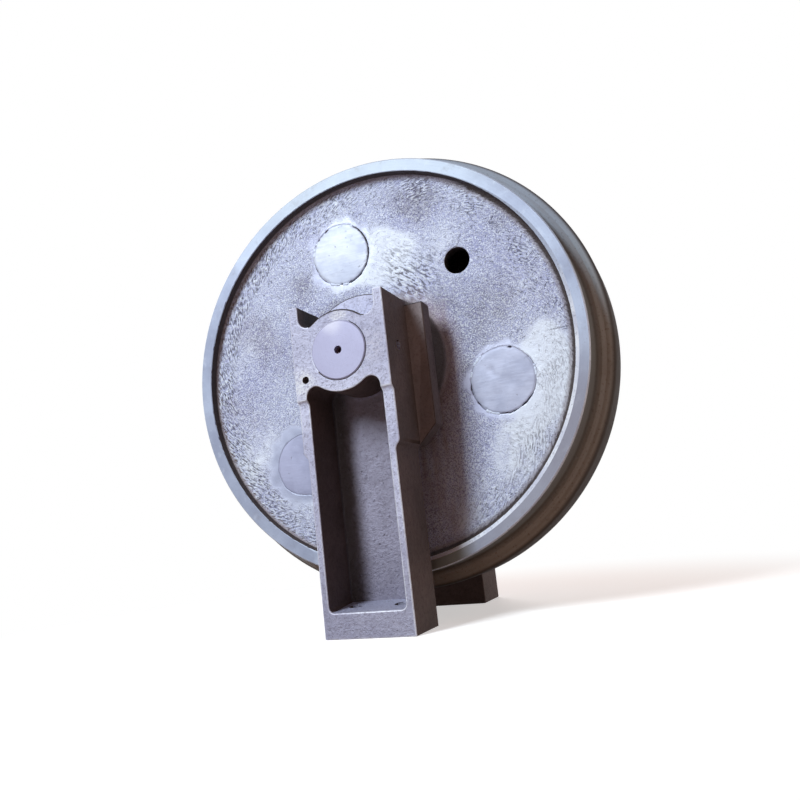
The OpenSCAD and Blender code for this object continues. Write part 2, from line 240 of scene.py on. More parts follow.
def seen_share(finish):
    """1 for the rays of the camera, a mirror or glass, and 0 for the light that is thrown back."""
    paths = finish.tree.nodes.new("ShaderNodeLightPath")
    kinds = ("Is Camera Ray", "Is Glossy Ray", "Is Transmission Ray")
    seen = [Sock(finish, paths.outputs[name]) for name in kinds]
    return (seen[0] + seen[1] + seen[2]).clipped()


def floor_finish():
    finish = Finish("floor_paper")
    patchy = finish.noise(1.5)
    paper = finish.mixed(patchy, tone(238, 238, 240), tone(246, 246, 246))
    lit = finish.node("ShaderNodeBsdfDiffuse", None, {"Color": paper})
    lift = finish.node("ShaderNodeEmission", None, {"Color": (1, 1, 1, 1), "Strength": 0.5})
    near_floor = finish.node("ShaderNodeAddShader", None, {0: lit, 1: lift})
    far_floor = finish.node("ShaderNodeEmission", None, {"Color": (1, 1, 1, 1), "Strength": 1.0})
    away = finish.between(finish.distance((0.0, 0.0, 0.0)), 0.35, 0.95)
    shown = finish.node("ShaderNodeMixShader", None, {0: away, 1: near_floor, 2: far_floor})
    thrown_back = finish.node("ShaderNodeBsdfDiffuse", None, {"Color": tone(120, 88, 70)})
    surface = finish.node("ShaderNodeMixShader", None, {0: seen_share(finish), 1: thrown_back, 2: shown})
    finish.node("ShaderNodeOutputMaterial", None, {"Surface": surface})
    return finish.material


floor_mesh.materials.append(floor_finish())
print("floor", FLOOR_HALF * 2, "m wide")

# %% World
WORLD_LIGHT = (0.165, 0.080, 0.050, 1.0)

world = bpy.data.worlds.new("studio")
bpy.context.scene.world = world
world.use_nodes = True


class Backdrop(Finish):
    """The world has the same kind of tree as a material, so the same moves work on it."""

    def __init__(self):
        self.material = world
        self.tree = world.node_tree
        self.tree.nodes.clear()


backdrop = Backdrop()
dim = backdrop.node("ShaderNodeBackground", None, {"Color": WORLD_LIGHT, "Strength": 1.0})
white = backdrop.node("ShaderNodeBackground", None, {"Color": (1, 1, 1, 1), "Strength": 1.0})
both = backdrop.node("ShaderNodeMixShader", None, {0: seen_share(backdrop), 1: dim, 2: white})
backdrop.node("ShaderNodeOutputWorld", None, {"Surface": both})
bpy.context.scene.view_settings.view_transform = "Standard"
print("world light", WORLD_LIGHT[:3])


# %% Lamps
def soft_lamp(name, at, aim, width, height, watts, colour):
    """A flat panel of light at one point, turned towards another."""
    panel = bpy.data.lights.new(name, "AREA")
    panel.shape = "RECTANGLE"
    panel.size = width
    panel.size_y = height
    panel.energy = watts
    panel.color = colour
    lamp = bpy.data.objects.new(name, panel)
    lamp.location = at
    lamp.rotation_euler = (Vector(aim) - Vector(at)).to_track_quat("-Z", "Y").to_euler()
    bpy.context.scene.collection.objects.link(lamp)
    print("lamp", name, watts, "W")


soft_lamp("doorway", (-0.725, -1.93, 1.757), (0.0, -0.12, 0.36), 0.52, 1.16, 60.0, (0.85, 0.945, 1.0))
soft_lamp("right_wall", (1.8, 0.1, 0.5), (0.3, 0.0, 0.38), 0.9, 0.9, 3.0, (1.0, 0.88, 0.78))
soft_lamp("far_wall", (-1.0, 2.1, 1.4), (0.0, 0.1, 0.36), 1.2, 1.2, 30.0, (1.0, 0.97, 0.94))

# %% [markdown]
# ## Random heights that stay the same
# Cast skin is a height that changes from point to point. Blender's own texture nodes could push a surface
# about, but here the same heights also steer colour, so they are worked out once as plain numbers. The
# method is lattice noise: a random arrow at each corner of a grid, blended smoothly between the corners.


# %% Lattice noise
def lattice_noise(points, seed):
    """A smooth random value between about -1 and 1 for each row of points."""
    draw = np.random.RandomState(seed)
    order = np.tile(draw.permutation(256), 3)
    arrows = draw.normal(size=(256, 3))
    arrows /= np.linalg.norm(arrows, axis=1)[:, None]
    corner = np.floor(points).astype(int)
    inside = points - corner
    fade = inside ** 3 * (inside * (inside * 6 - 15) + 10)
    corner = corner & 255
    total = np.zeros(len(points))
    for step in itertools.product((0, 1), repeat=3):
        at = (corner + step) & 255
        arrow = arrows[order[order[order[at[:, 0]] + at[:, 1]] + at[:, 2]]]
        share = np.where(np.array(step) == 1, fade, 1 - fade).prod(axis=1)
        total += share * (arrow * (inside - step)).sum(axis=1)
    return total * 1.4


def soft_step(value, low, high):
    """0 below low, 1 above high, and a smooth rise between them."""
    share = np.clip((value - low) / (high - low), 0, 1)
    return share * share * (3 - 2 * share)


sample = lattice_noise(np.random.RandomState(1).uniform(0, 50, (2000, 3)), 7)
print("noise runs from", round(sample.min(), 2), "to", round(sample.max(), 2))

# %% [markdown]
# ## Round pieces from rings
# The webs, the rim and the core plates are all round, but a lathe grid crowds its points in the middle. Here
# each ring gets as many points as its own length asks for, and neighbouring rings are stitched with triangles
# by their angles. Openings are cut by sliding the nearest points onto the cut and dropping what is inside.


# %% Rings and stitches
def stitch(first, second):
    """Triangles between two rings, each given as (point numbers, their rising angles)."""
    middles = []
    for _, angles in (first, second):
        following = np.append(angles[1:], angles[0] + 2 * np.pi)
        middles.append((angles + following) / 2)
    ids_a, ids_b = first[0], second[0]
    held_b = np.searchsorted(middles[1], middles[0], side="left") % len(ids_b)
    held_a = np.searchsorted(middles[0], middles[1], side="right") % len(ids_a)
    along_a = np.column_stack([ids_a, np.roll(ids_a, -1), ids_b[held_b]])
    along_b = np.column_stack([np.roll(ids_b, -1), ids_b, ids_a[held_a]])
    return np.vstack([along_a, along_b])


def ring_points(outline, spacings):
    """Radius, angle and depth of every point of a ring at each place of the outline, and the rings."""
    radius, angle, depth, rings = [], [], [], []
    start = 0
    for number, ((r, a), spacing) in enumerate(zip(outline, spacings)):
        count = max(6, int(round(2 * math.pi * r / spacing)))
        angles = 2 * np.pi * (np.arange(count) + 0.5 * (number % 2)) / count
        radius.append(np.full(count, r))
        depth.append(np.full(count, a))
        angle.append(angles)
        rings.append((np.arange(start, start + count), angles))
        start += count
    return np.concatenate(radius), np.concatenate(angle), np.concatenate(depth), rings


def stitch_all(rings, closed=True):
    pairs = list(zip(rings, rings[1:]))
    if closed:
        pairs.append((rings[-1], rings[0]))
    return np.vstack([stitch(first, second) for first, second in pairs])


# %% From numbers to a Blender object
def piece_from(name, points, faces, values=None):
    """A smooth closed piece from points in metres, with normals outwards and named values on its points."""
    mesh = bpy.data.meshes.new(name)
    mesh.from_pydata(points.tolist(), [], faces if isinstance(faces, list) else faces.tolist())
    for label, numbers in (values or {}).items():
        kind, field = ("FLOAT", "value") if numbers.ndim == 1 else ("FLOAT_VECTOR", "vector")
        store = mesh.attributes.new(label, kind, "POINT")
        store.data.foreach_set(field, np.asarray(numbers, np.float32).ravel())
    cleaner = bmesh.new()
    cleaner.from_mesh(mesh)
    loose = [point for point in cleaner.verts if not point.link_faces]
    bmesh.ops.delete(cleaner, geom=loose, context="VERTS")
    bmesh.ops.recalc_face_normals(cleaner, faces=cleaner.faces)
    open_edges = sum(1 for edge in cleaner.edges if not edge.is_manifold)
    cleaner.to_mesh(mesh)
    cleaner.free()
    mesh.shade_smooth()
    piece = bpy.data.objects.new(name, mesh)
    bpy.context.scene.collection.objects.link(piece)
    print(name, len(mesh.polygons), "faces,", open_edges, "open edges")
    return piece


TURN = {"near": 1, "far": -1}


def round_point(radius, angle, depth, side):
    """Wheel coordinates in mm to the frame in metres. The far side is the near side turned half round."""
    turn = TURN[side]
    x = turn * radius * np.cos(angle)
    z = radius * np.sin(angle)
    return np.column_stack([x, -turn * depth, z + AXLE.z / MM]) * MM


# %% [markdown]
# ## The wheel's rim
# The rim is the only part of the wheel that was turned: two flat faces with a bevelled lip inside, the two
# treads, and the flange between them that runs in the track. Its section is drawn once and swept round. A
# small wobble on the lip keeps the nicks that the cutter left where it broke into rough casting.

# %% Sizes of the wheel in mm
TREAD_R = 310.0
FLANGE_R = 335.0
BEVEL_R = 294.0
RIM_FACE = 88.0
RIM_IN_R = 290.5
WEB_ROOT_R = 283.5
WEB_RIM = 73.0
WEB_HUB = 59.0
HUB_ROOT_R = 106.0
HUB_R = 92.0
WEB_T = 22.0


def web_face(radius):
    """How far out the dished web stands at a radius."""
    return WEB_RIM - (WEB_RIM - WEB_HUB) * (WEB_ROOT_R - radius) / (WEB_ROOT_R - HUB_ROOT_R)


def arc(centre_r, centre_a, radius, start, end, steps):
    turns = np.radians(np.linspace(start, end, steps + 1))
    return [(centre_r + radius * math.cos(t), centre_a + radius * math.sin(t)) for t in turns]


def filled(outline, longest):
    """The outline with points added until no stretch of it is longer than that."""
    result = [outline[0]]
    for start, end in zip(outline, outline[1:]):
        parts = max(1, math.ceil(math.dist(start, end) / longest))
        for step in range(1, parts + 1):
            share = step / parts
            result.append((start[0] + (end[0] - start[0]) * share, start[1] + (end[1] - start[1]) * share))
    return result


# %% Sweep the rim
rim_half = [(272.0, 0.0), (272.0, 55.0), (276.0, 66.0), (285.0, 70.0), (291.6, 78.0), (291.6, 84.6)]
rim_half += [(RIM_IN_R, 85.4), (BEVEL_R, RIM_FACE), (308.2, RIM_FACE), (TREAD_R, 86.2)]
rim_half += arc(TREAD_R + 8.0, 48.0, 8.0, 180, 270, 6)
rim_half += arc(FLANGE_R - 12.0, 24.0, 12.0, 86, 0, 8)
rim_half = filled(rim_half, 6.0)
rim_outline = rim_half + [(r, -a) for r, a in reversed(rim_half[1:])]

rim_r, rim_angle, rim_a, rim_rings = ring_points(rim_outline, [2.9] * len(rim_outline))
ripple = np.column_stack([np.cos(rim_angle) * 60, np.sin(rim_angle) * 60, np.sign(rim_a) * 9])
low_side = soft_step(np.cos(rim_angle + np.radians(35)), 0.0, 0.6)
bevel_top = (np.abs(rim_r - BEVEL_R) < 0.5) & (np.abs(rim_a) > 87.9)
bevel_foot = (np.abs(rim_r - RIM_IN_R) < 0.5) & (np.abs(rim_a) > 85.2) & (np.abs(rim_a) < 86)
rim_r = np.where(bevel_top, 291.4 + 4.2 * low_side, rim_r)
rim_a = np.where(bevel_foot, np.sign(rim_a) * (87.3 - 1.9 * low_side), rim_a)
lip = np.exp(-((rim_r - 290.6) / 1.2) ** 2) * (np.abs(rim_a) > 85)
lip = lip * (0.35 + 0.65 * soft_step(-np.cos(rim_angle), -0.2, 0.4))
nick = soft_step(lattice_noise(ripple * 0.7, 11), 0.3, 0.6)
rim_r = rim_r + lip * (0.3 * lattice_noise(ripple, 12) + 1.2 * nick)
rim = piece_from("wheel_rim", round_point(rim_r, rim_angle, rim_a, "near"), stitch_all(rim_rings))
rim.data.set_sharp_from_angle(angle=math.radians(16))

# %% [markdown]
# ## Finish of the rim
# The faces carry the rings of the turning tool under a thin film of oil, cool and silvery. The treads and the
# flange were hardened and are left with a brown heat scale, streaked round the wheel. Both come from one
# radius node, so they turn with the wheel. The scale starts where the face ends.


# %% Turned face and heat scale
def turned_face():
    finish = Finish("turned_rim")
    marks = finish.rings(900.0)
    cloud = finish.noise(9.0, detail=5.0)
    speck = finish.between(finish.noise(420.0, detail=2.0), 0.62, 0.74)
    smear = finish.between(finish.noise(55.0, detail=4.0), 0.56, 0.7)
    face = finish.mixed(finish.between(cloud, 0.36, 0.64), tone(152, 161, 186), tone(186, 198, 222))
    face = finish.mixed(0.2 * marks, face, tone(118, 124, 146))
    face = finish.mixed(0.25 * smear, face, tone(212, 222, 238))
    dull_smear = finish.between(finish.noise(34.0, detail=5.0, rough=0.65), 0.55, 0.7)
    face = finish.mixed(0.55 * dull_smear, face, tone(138, 140, 158))
    # Painted shade: the lower right of the face is darker.
    painted_light_low_right = finish.between(finish.along("X"), -0.02, 0.2) * finish.between(finish.along("Z"), 0.4, 0.24)
    face = finish.mixed(0.6 * painted_light_low_right, face, tone(142, 137, 146))
    # Painted shade: the top of the face is dulled towards olive, where the lamp lights it most.
    face = finish.mixed(0.3 * finish.between(finish.along("Z"), 0.54, 0.68), face, tone(136, 142, 118))
    # The leg's painted shadow on the lower right of the face.
    below = finish.between(finish.along("X"), 0.13, 0.09) * finish.between(finish.along("X"), -0.02, 0.02)
    low_down = finish.between(finish.along("Z"), 0.22, 0.16)
    face = finish.mixed(0.85 * below * low_down, face, tone(112, 104, 86))
    face = finish.mixed(0.45 * speck, face, tone(104, 104, 122))
    rough = 0.42 + 0.16 * cloud - 0.1 * speck
    grain = finish.noise(900.0, detail=2.0)
    normal = finish.bump(marks + 0.5 * grain, 0.00016, 0.6)
    return finish.done(face, rough, normal, metallic=0.2, gloss=0.45)


def heat_scale():
    finish = Finish("tread_scale")
    streak = finish.noise(5.0, detail=5.0, place=finish.stretched(1.0, 14.0, 1.0))
    lathe_line = finish.noise(1.0, detail=2.0, place=finish.stretched(3.0, 260.0, 3.0))
    cloud = finish.noise(16.0, detail=4.0)
    fleck = finish.between(finish.noise(300.0, detail=3.0), 0.56, 0.7)
    out = finish.radius()
    off_root = finish.apart(out, 0.3118)
    scale = finish.mixed(finish.between(streak, 0.3, 0.7), tone(196, 209, 216), tone(204, 217, 224))
    # Painted light and shade: the upper tread is darker and bluer than the lower.
    scale = finish.mixed(0.75 * finish.between(finish.along("Z"), 0.36, 0.56), scale, tone(150, 160, 180))
    scale = finish.mixed(0.72 * finish.between(out, 0.319, 0.3115), scale, tone(114, 115, 115))
    scale = finish.mixed(0.25 * finish.between(cloud, 0.5, 0.75), scale, tone(142, 138, 134))
    scale = finish.mixed(0.12 * finish.between(lathe_line, 0.5, 0.62), scale, tone(112, 105, 103))
    scale = finish.mixed(0.3 * fleck, scale, tone(96, 86, 84))
    # Painted shade: a dark line in the corner at the root of the flange.
    scale = finish.mixed(0.25 * finish.between(off_root, 0.0022, 0.0), scale, tone(56, 48, 46))
    scale = finish.mixed(0.82 * finish.between(out, 0.3285, 0.3335), scale, tone(80, 73, 71))
    rough = 0.56 + 0.2 * cloud
    normal = finish.bump(0.4 * streak + 0.5 * fleck + 0.2 * lathe_line, 0.0002, 0.5)
    return finish.done(scale, rough, normal, metallic=0.0, gloss=0.03)


def lip_with_painted_highlight():
    finish = Finish("rim_lip_painted_highlight")
    cloud = finish.noise(40.0, detail=5.0)
    chatter = finish.between(finish.noise(260.0, detail=3.0), 0.56, 0.68)
    # Painted highlight: the lip and the outer edge of the face are brighter than the face, most of all on the
    # lower right.
    lip_colour = finish.mixed(finish.between(cloud, 0.35, 0.65), tone(204, 208, 226), tone(232, 236, 246))
    painted_light_low_right = finish.between(finish.along("X"), -0.12, 0.05) * finish.between(finish.along("Z"), 0.5, 0.36)
    lip_colour = finish.mixed(1 - painted_light_low_right, lip_colour, tone(172, 182, 204))
    lip_colour = finish.mixed(0.35 * chatter, lip_colour, tone(120, 118, 136))
    normal = finish.bump(cloud + chatter, 0.0003, 0.5)
    return finish.done(lip_colour, 0.36 + 0.2 * cloud, normal, metallic=0.1, gloss=0.5)


for finish in (turned_face(), heat_scale(), lip_with_painted_highlight()):
    rim.data.materials.append(finish)
FACE, SCALE, LIP = range(3)
for face in rim.data.polygons:
    out_r = math.hypot(face.center.x, face.center.z - AXLE.z) / MM
    out_a = abs(face.center.y) / MM
    face.material_index = FACE
    if out_r > TREAD_R - 0.1 and out_a < 86.1:
        face.material_index = SCALE
    elif 84 < out_a < 87.9 and (out_r < BEVEL_R + 2 or out_r > 308.2):
        face.material_index = LIP
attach(rim, "wheel")

# %% [markdown]
# ## The cast webs
# Between rim and hub the wheel is as it left the sand: short wrinkles where the iron folded over itself,
# coarse beside the rim and finer towards the middle, and ground smooth round the welded core plates. Bump
# alone would look flat at a low angle, so the wrinkles are real heights. Lines where a noise crosses zero
# give wandering creases, and a second noise breaks them into short strokes.

# %% Openings in the webs
PLATE_R = 47.0
PLATE_CIRCLE_R = 191.0
HOLE_R = 19.0
PLATE_ANGLES = (103.0, 223.0, 343.0)
HOLE_ANGLE = 43.0
EDGE_BREAK = 0.7
SEEDS = {"near": 3, "far": 104}
GROUND_EXTRA = {"near": (0.0, 10.0, 0.0), "far": (0.0, 0.0, 4.0)}
GROUND_DULL = {"near": (0.0, 1.0, 0.0), "far": (0.3, 0.0, 0.6)}


def on_circle(degrees):
    turn = math.radians(degrees)
    return np.array([PLATE_CIRCLE_R * math.cos(turn), PLATE_CIRCLE_R * math.sin(turn)])


def seam_radius(turn, seed):
    """The rough round of a core opening, cut by hand."""
    around = np.column_stack([np.cos(turn) * 2.2, np.sin(turn) * 2.2, np.full(len(turn), seed * 3.7)])
    return PLATE_R + 1.2 * lattice_noise(around, seed) + 0.7 * lattice_noise(around * 3.3, seed + 9)


OPEN_SEAMS = {
    "near": [
        [(-12, 68, 1.0, False), (138, 30, 1.0, True), (258, 12, 1.0, True), (212, 24, 0.35, False)],
        [],
        [
            (50, 28, 1.0, True),
            (-47, 14, 1.0, False),
            (-86, 14, 0.8, False),
            (186, 9, 1.0, False),
            (216, 5, 1.0, False),
        ],
    ],
    "far": [
        [(60, 50, 1.0, True), (200, 40, 1.0, False)],
        [(300, 60, 1.0, False)],
        [(120, 40, 1.0, True), (350, 30, 0.7, False)],
    ],
}


def seam_gap(turn, side, number, seed):
    """1 where the joint round a plate still shows, and 0 where its weld was ground flush."""
    gap = np.zeros(len(turn))
    around = np.column_stack([np.cos(turn), np.sin(turn), np.full(len(turn), number + 0.5)])
    dots = soft_step(lattice_noise(around * 9.0, seed + 80), 0.0, 0.2)
    jags = 0.85 + 0.5 * lattice_noise(around * 15.0, seed + 81)
    for middle, half, amount, dotted in OPEN_SEAMS[side][number]:
        off = np.abs((np.degrees(turn) - middle + 180) % 360 - 180)
        stretch = amount * (1 - soft_step(off, half - 4, half + 4))
        gap = np.maximum(gap, stretch * (dots if dotted else jags))
    return np.clip(gap, 0, 1)


def seam_cut(turn, side, number, seed):
    """Radius of the opening in the web, with teeth bitten out where the joint shows."""
    around = np.column_stack([np.cos(turn), np.sin(turn), np.full(len(turn), 0.7)])
    teeth = np.clip(lattice_noise(around * 11.0, seed + 82), 0, 1)
    return seam_radius(turn, seed + number) + EDGE_BREAK + 2.2 * teeth * seam_gap(turn, side, number, seed)


# %% Stains, painted shade and wrinkles on the webs
PALE_OR_DARK = {
    "near": [
        (38, 165, 36, 1.4), (-41, 138, 34, 1.2), (119, 167, 28, 0.6), (249, -33, 38, 1.4),
        (249, -96, 38, 1.4), (30, 198, 32, 1.3), (-95, 190, 20, 0.5), (-43, 240, 22, 0.5),
        (192, -162, 40, 1.0), (-224, 78, 30, 0.6), (4, 130, 22, 1.0), (70, 179, 16, 0.7),
        (200, -122, 32, 0.8), (242, -10, 26, 0.9), (65, 118, 26, 0.3),
        (-150, -190, 40, 0.5), (105, -240, 34, 0.6), (-116, 143, 34, -0.7), (-198, 106, 30, -0.6),
        (187, 59, 42, -0.8), (107, 77, 38, -0.7), (96, 233, 36, -0.9), (211, 179, 32, -0.7),
        (-172, -128, 30, -0.5), (-196, -35, 30, -0.2), (-222, -110, 40, 0.5), (-200, -72, 30, 0.4),
        (-238, -128, 34, 0.5), (-101, 167, 26, -0.5), (144, 10, 36, -0.7), (50, 218, 40, -0.8),
        # The last six near spots are painted shade: (138, -28) a shadowed dip beside plate B, and the row
        # from (-87, 101) to (-4, 122) the shadow along the top of the guide plate.
        (138, -28, 12, -0.6), (-87, 101, 11, -1.2), (-65, 110, 11, -1.6), (-45, 117, 11, -1.6),
        (-26, 121, 10, -1.4), (-4, 122, 8, -1.2),
    ],
    "far": [
        (60, 190, 34, 0.7), (-180, 120, 36, 0.6), (-90, -210, 40, 0.8), (220, -60, 34, 0.7),
        (-240, -30, 30, 0.5), (150, 120, 40, -0.7), (-60, 150, 32, -0.6), (-150, -120, 36, -0.7),
        (90, -180, 34, -0.6), (240, 60, 30, -0.5),
    ],
}
WRINKLED = {
    "near": [
        (65, 118, 34, 1.3), (95, 135, 24, 0.5), (40, 160, 22, 0.5), (232, 70, 24, 0.4),
        (238, -60, 22, 0.4), (205, -150, 26, 0.45), (150, -215, 26, 0.45), (225, 120, 24, 0.5),
        (170, 205, 26, 0.6), (90, 250, 26, 0.7),
    ],
    "far": [
        (-80, 130, 30, 0.9), (200, 120, 28, 0.7), (-200, -110, 28, 0.7), (90, -215, 28, 0.6),
        (-60, 240, 30, 0.7),
    ],
}


def spots(x, z, places):
    """A sum of soft round spots, each with a centre, a size and an amount."""
    total = np.zeros(len(x))
    for centre_x, centre_z, size, amount in places:
        away = np.hypot(x - centre_x, z - centre_z) / size
        total += amount * np.exp(-away * away)
    return total


def stain_and_shade(x, z, side, seed):
    """Pale above 0 and dark below it."""
    ragged = 0.8 + 0.5 * lattice_noise(np.column_stack([x, z, np.full(len(x), 5.0)]) / 17.0, seed + 30)
    return np.clip(spots(x, z, PALE_OR_DARK[side]) * ragged, -1, 1)


def wrinkled(x, z, angle, radius, side, seed):
    """1 where the skin is deeply wrinkled: along the upper left of the rim, and in a few other places."""
    band = soft_step(radius, 246, 262) * (1 - soft_step(radius, 285, 289))
    leftward = 0.22 + 0.78 * soft_step(np.cos(angle - np.radians(165)), 0.0, 0.8)
    ragged = 0.95 + 0.7 * lattice_noise(np.column_stack([x, z, np.full(len(x), 9.0)]) / 21.0, seed + 31)
    return np.clip((band * leftward + spots(x, z, WRINKLED[side])) * ragged, 0, 1)


# The leg's painted shadow: full on the near web and half on the far one.
PAINTED_LEG_SHADOW = {"near": 1.0, "far": 0.5}


def painted_leg_shadow(x, z, side, seed):
    """1 where the leg's shadow is painted on the web as a brown band beside the bracket."""
    place = np.column_stack([x, z * 0.6, np.full(len(x), 3.0)])
    ragged = 34.0 * lattice_noise(place / 44.0, seed + 90) + 12.0 * lattice_noise(place / 13.0, seed + 91)
    runs = 0.75 + 0.45 * lattice_noise(place * np.array([1.0, 0.3, 1.0]) / 9.0, seed + 92)
    band = soft_step(x + ragged, -30, 40) * (1 - soft_step(x + 0.6 * ragged, 78, 124))
    low_end = 1 - 0.5 * soft_step(-z + ragged, 150, 270)
    return np.clip(runs, 0, 1) * band * low_end * (1 - soft_step(z + ragged, 0, 80)) * PAINTED_LEG_SHADOW[side]


# %% Heights of the cast skin
FLOW_LEAN = 0.5
FLOW_R = 265.0


def flow(angle, radius):
    """Coordinates in mm along and across the wrinkles, which lean out of the round and part at the right."""
    way = (angle % (2 * np.pi)) * FLOW_R
    return way - FLOW_LEAN * radius, radius + FLOW_LEAN * way


def creases(along, across, seed, length, width):
    """1 along short wandering strokes of about this length and width in mm."""
    base = np.column_stack([along / length, across / width, np.full(len(along), seed * 0.37)])
    bend = np.column_stack([lattice_noise(base * 0.45, seed + part) for part in (1, 2, 3)])
    lines = 1 - np.clip(np.abs(lattice_noise(base + 0.8 * bend, seed)) / 0.3, 0, 1)
    breaks = soft_step(lattice_noise(base * 0.8 + 31.0, seed + 4), -0.02, 0.26)
    return lines ** 1.2 * breaks


def swell(x, z, seed):
    """The broad unevenness of the casting in mm, which the plates follow too."""
    return 0.9 * lattice_noise(np.column_stack([x, z, np.full(len(x), seed * 17.0)]) / 85.0, seed + 40)


def cast_skin(x, z, angle, radius, side, seed):
    """Height of the skin in mm, and the masks that its colour needs."""
    spot = np.column_stack([x, z, np.full(len(x), seed * 17.0)])
    patch = lattice_noise(spot / 38.0, seed + 41)
    ground = np.zeros(len(x))
    dull = np.zeros(len(x))
    for number, degrees in enumerate(PLATE_ANGLES):
        centre = on_circle(degrees)
        reach = np.hypot(x - centre[0], z - centre[1]) + 13.0 * lattice_noise(spot / 17.0, seed + 50 + number)
        dressed = 1 - soft_step(reach - GROUND_EXTRA[side][number], PLATE_R + 2, PLATE_R + 14)
        ground = np.maximum(ground, dressed)
        dull = np.maximum(dull, (1 - soft_step(reach, PLATE_R - 6, PLATE_R + 30)) * GROUND_DULL[side][number])
    along, across = flow(angle, radius)
    wrinkle = wrinkled(x, z, angle, radius, side, seed) * (1 - ground)
    rim_folds = creases(along, across, seed, 12.0, 5.6) * soft_step(radius, 240, 252)
    mid_folds = creases(x - 0.8 * z, x + z, seed + 10, 13.0, 7.0) * (1 - soft_step(radius, 240, 252))
    folds = (rim_folds + mid_folds) * wrinkle
    lumps = 0.3 * lattice_noise(spot / 7.5, seed + 60) + 0.18 * lattice_noise(spot / 4.1, seed + 61)
    height = swell(x, z, seed) + lumps * (1 - 0.8 * ground) - 0.8 * folds
    masks = {"hollow": np.clip(folds, 0, 1), "ground": ground, "patch": 0.5 + 0.5 * patch, "wrinkle": wrinkle}
    masks["dull"] = dull
    masks["flow"] = np.column_stack([along, across, np.zeros(len(x))]) * MM
    return height, masks


# %% Cut openings into ringed sheets
def open_points(triangles):
    """The points on edges that only one triangle uses."""
    pairs = np.vstack([triangles[:, [0, 1]], triangles[:, [1, 2]], triangles[:, [2, 0]]])
    lines, uses = np.unique(np.sort(pairs, axis=1), axis=0, return_counts=True)
    return np.unique(lines[uses == 1])


def cut_openings(x, z, triangles, spacing, cuts):
    """Drops what lies inside each round cut and slides the points left open onto it."""
    edges = []
    for (centre_x, centre_z), radius_of in cuts:
        turn = np.arctan2(z - centre_z, x - centre_x)
        away = np.hypot(x - centre_x, z - centre_z)
        wanted = radius_of(turn)
        inside = away < wanted - 0.5 * spacing
        triangles = triangles[~inside[triangles].any(axis=1)]
        ids = open_points(triangles)
        ids = ids[np.abs(away - wanted)[ids] < 2.0 * spacing[ids]]
        x[ids] = centre_x + wanted[ids] * np.cos(turn[ids])
        z[ids] = centre_z + wanted[ids] * np.sin(turn[ids])
        edges.append((ids, (centre_x, centre_z)))
    return x, z, triangles, edges


def cut_ring(ids, centre, x, z):
    turn = np.arctan2(z[ids] - centre[1], x[ids] - centre[0]) % (2 * np.pi)
    order = np.argsort(turn)
    return ids[order], turn[order]


# %% Build a web
WEB_SPACING = 1.85
BACK_SPACING = 7.0
WALL_DROP = 1.8


def web_outline():
    """The dished skin from hub to rim, and the hidden way back behind it."""
    skin = [(HUB_R - 0.4, 76.0), (HUB_R, 73.0), (HUB_ROOT_R - 1.5, 60.2)]
    skin += [(HUB_ROOT_R + 2.0, web_face(HUB_ROOT_R + 2))]
    skin += arc(WEB_ROOT_R, WEB_RIM + 7.0, 7.0, -88, 0, 6)
    skin += [(RIM_IN_R, 85.2)]
    hidden = [(293.0, 84.6), (293.0, 78.0), (285.0, 66.0), (276.0, web_face(276) - WEB_T)]
    hidden += [(HUB_ROOT_R, WEB_HUB - WEB_T), (88.0, 40.0), (88.0, 74.0)]
    return filled(skin, WEB_SPACING * 0.88), filled(hidden, BACK_SPACING)


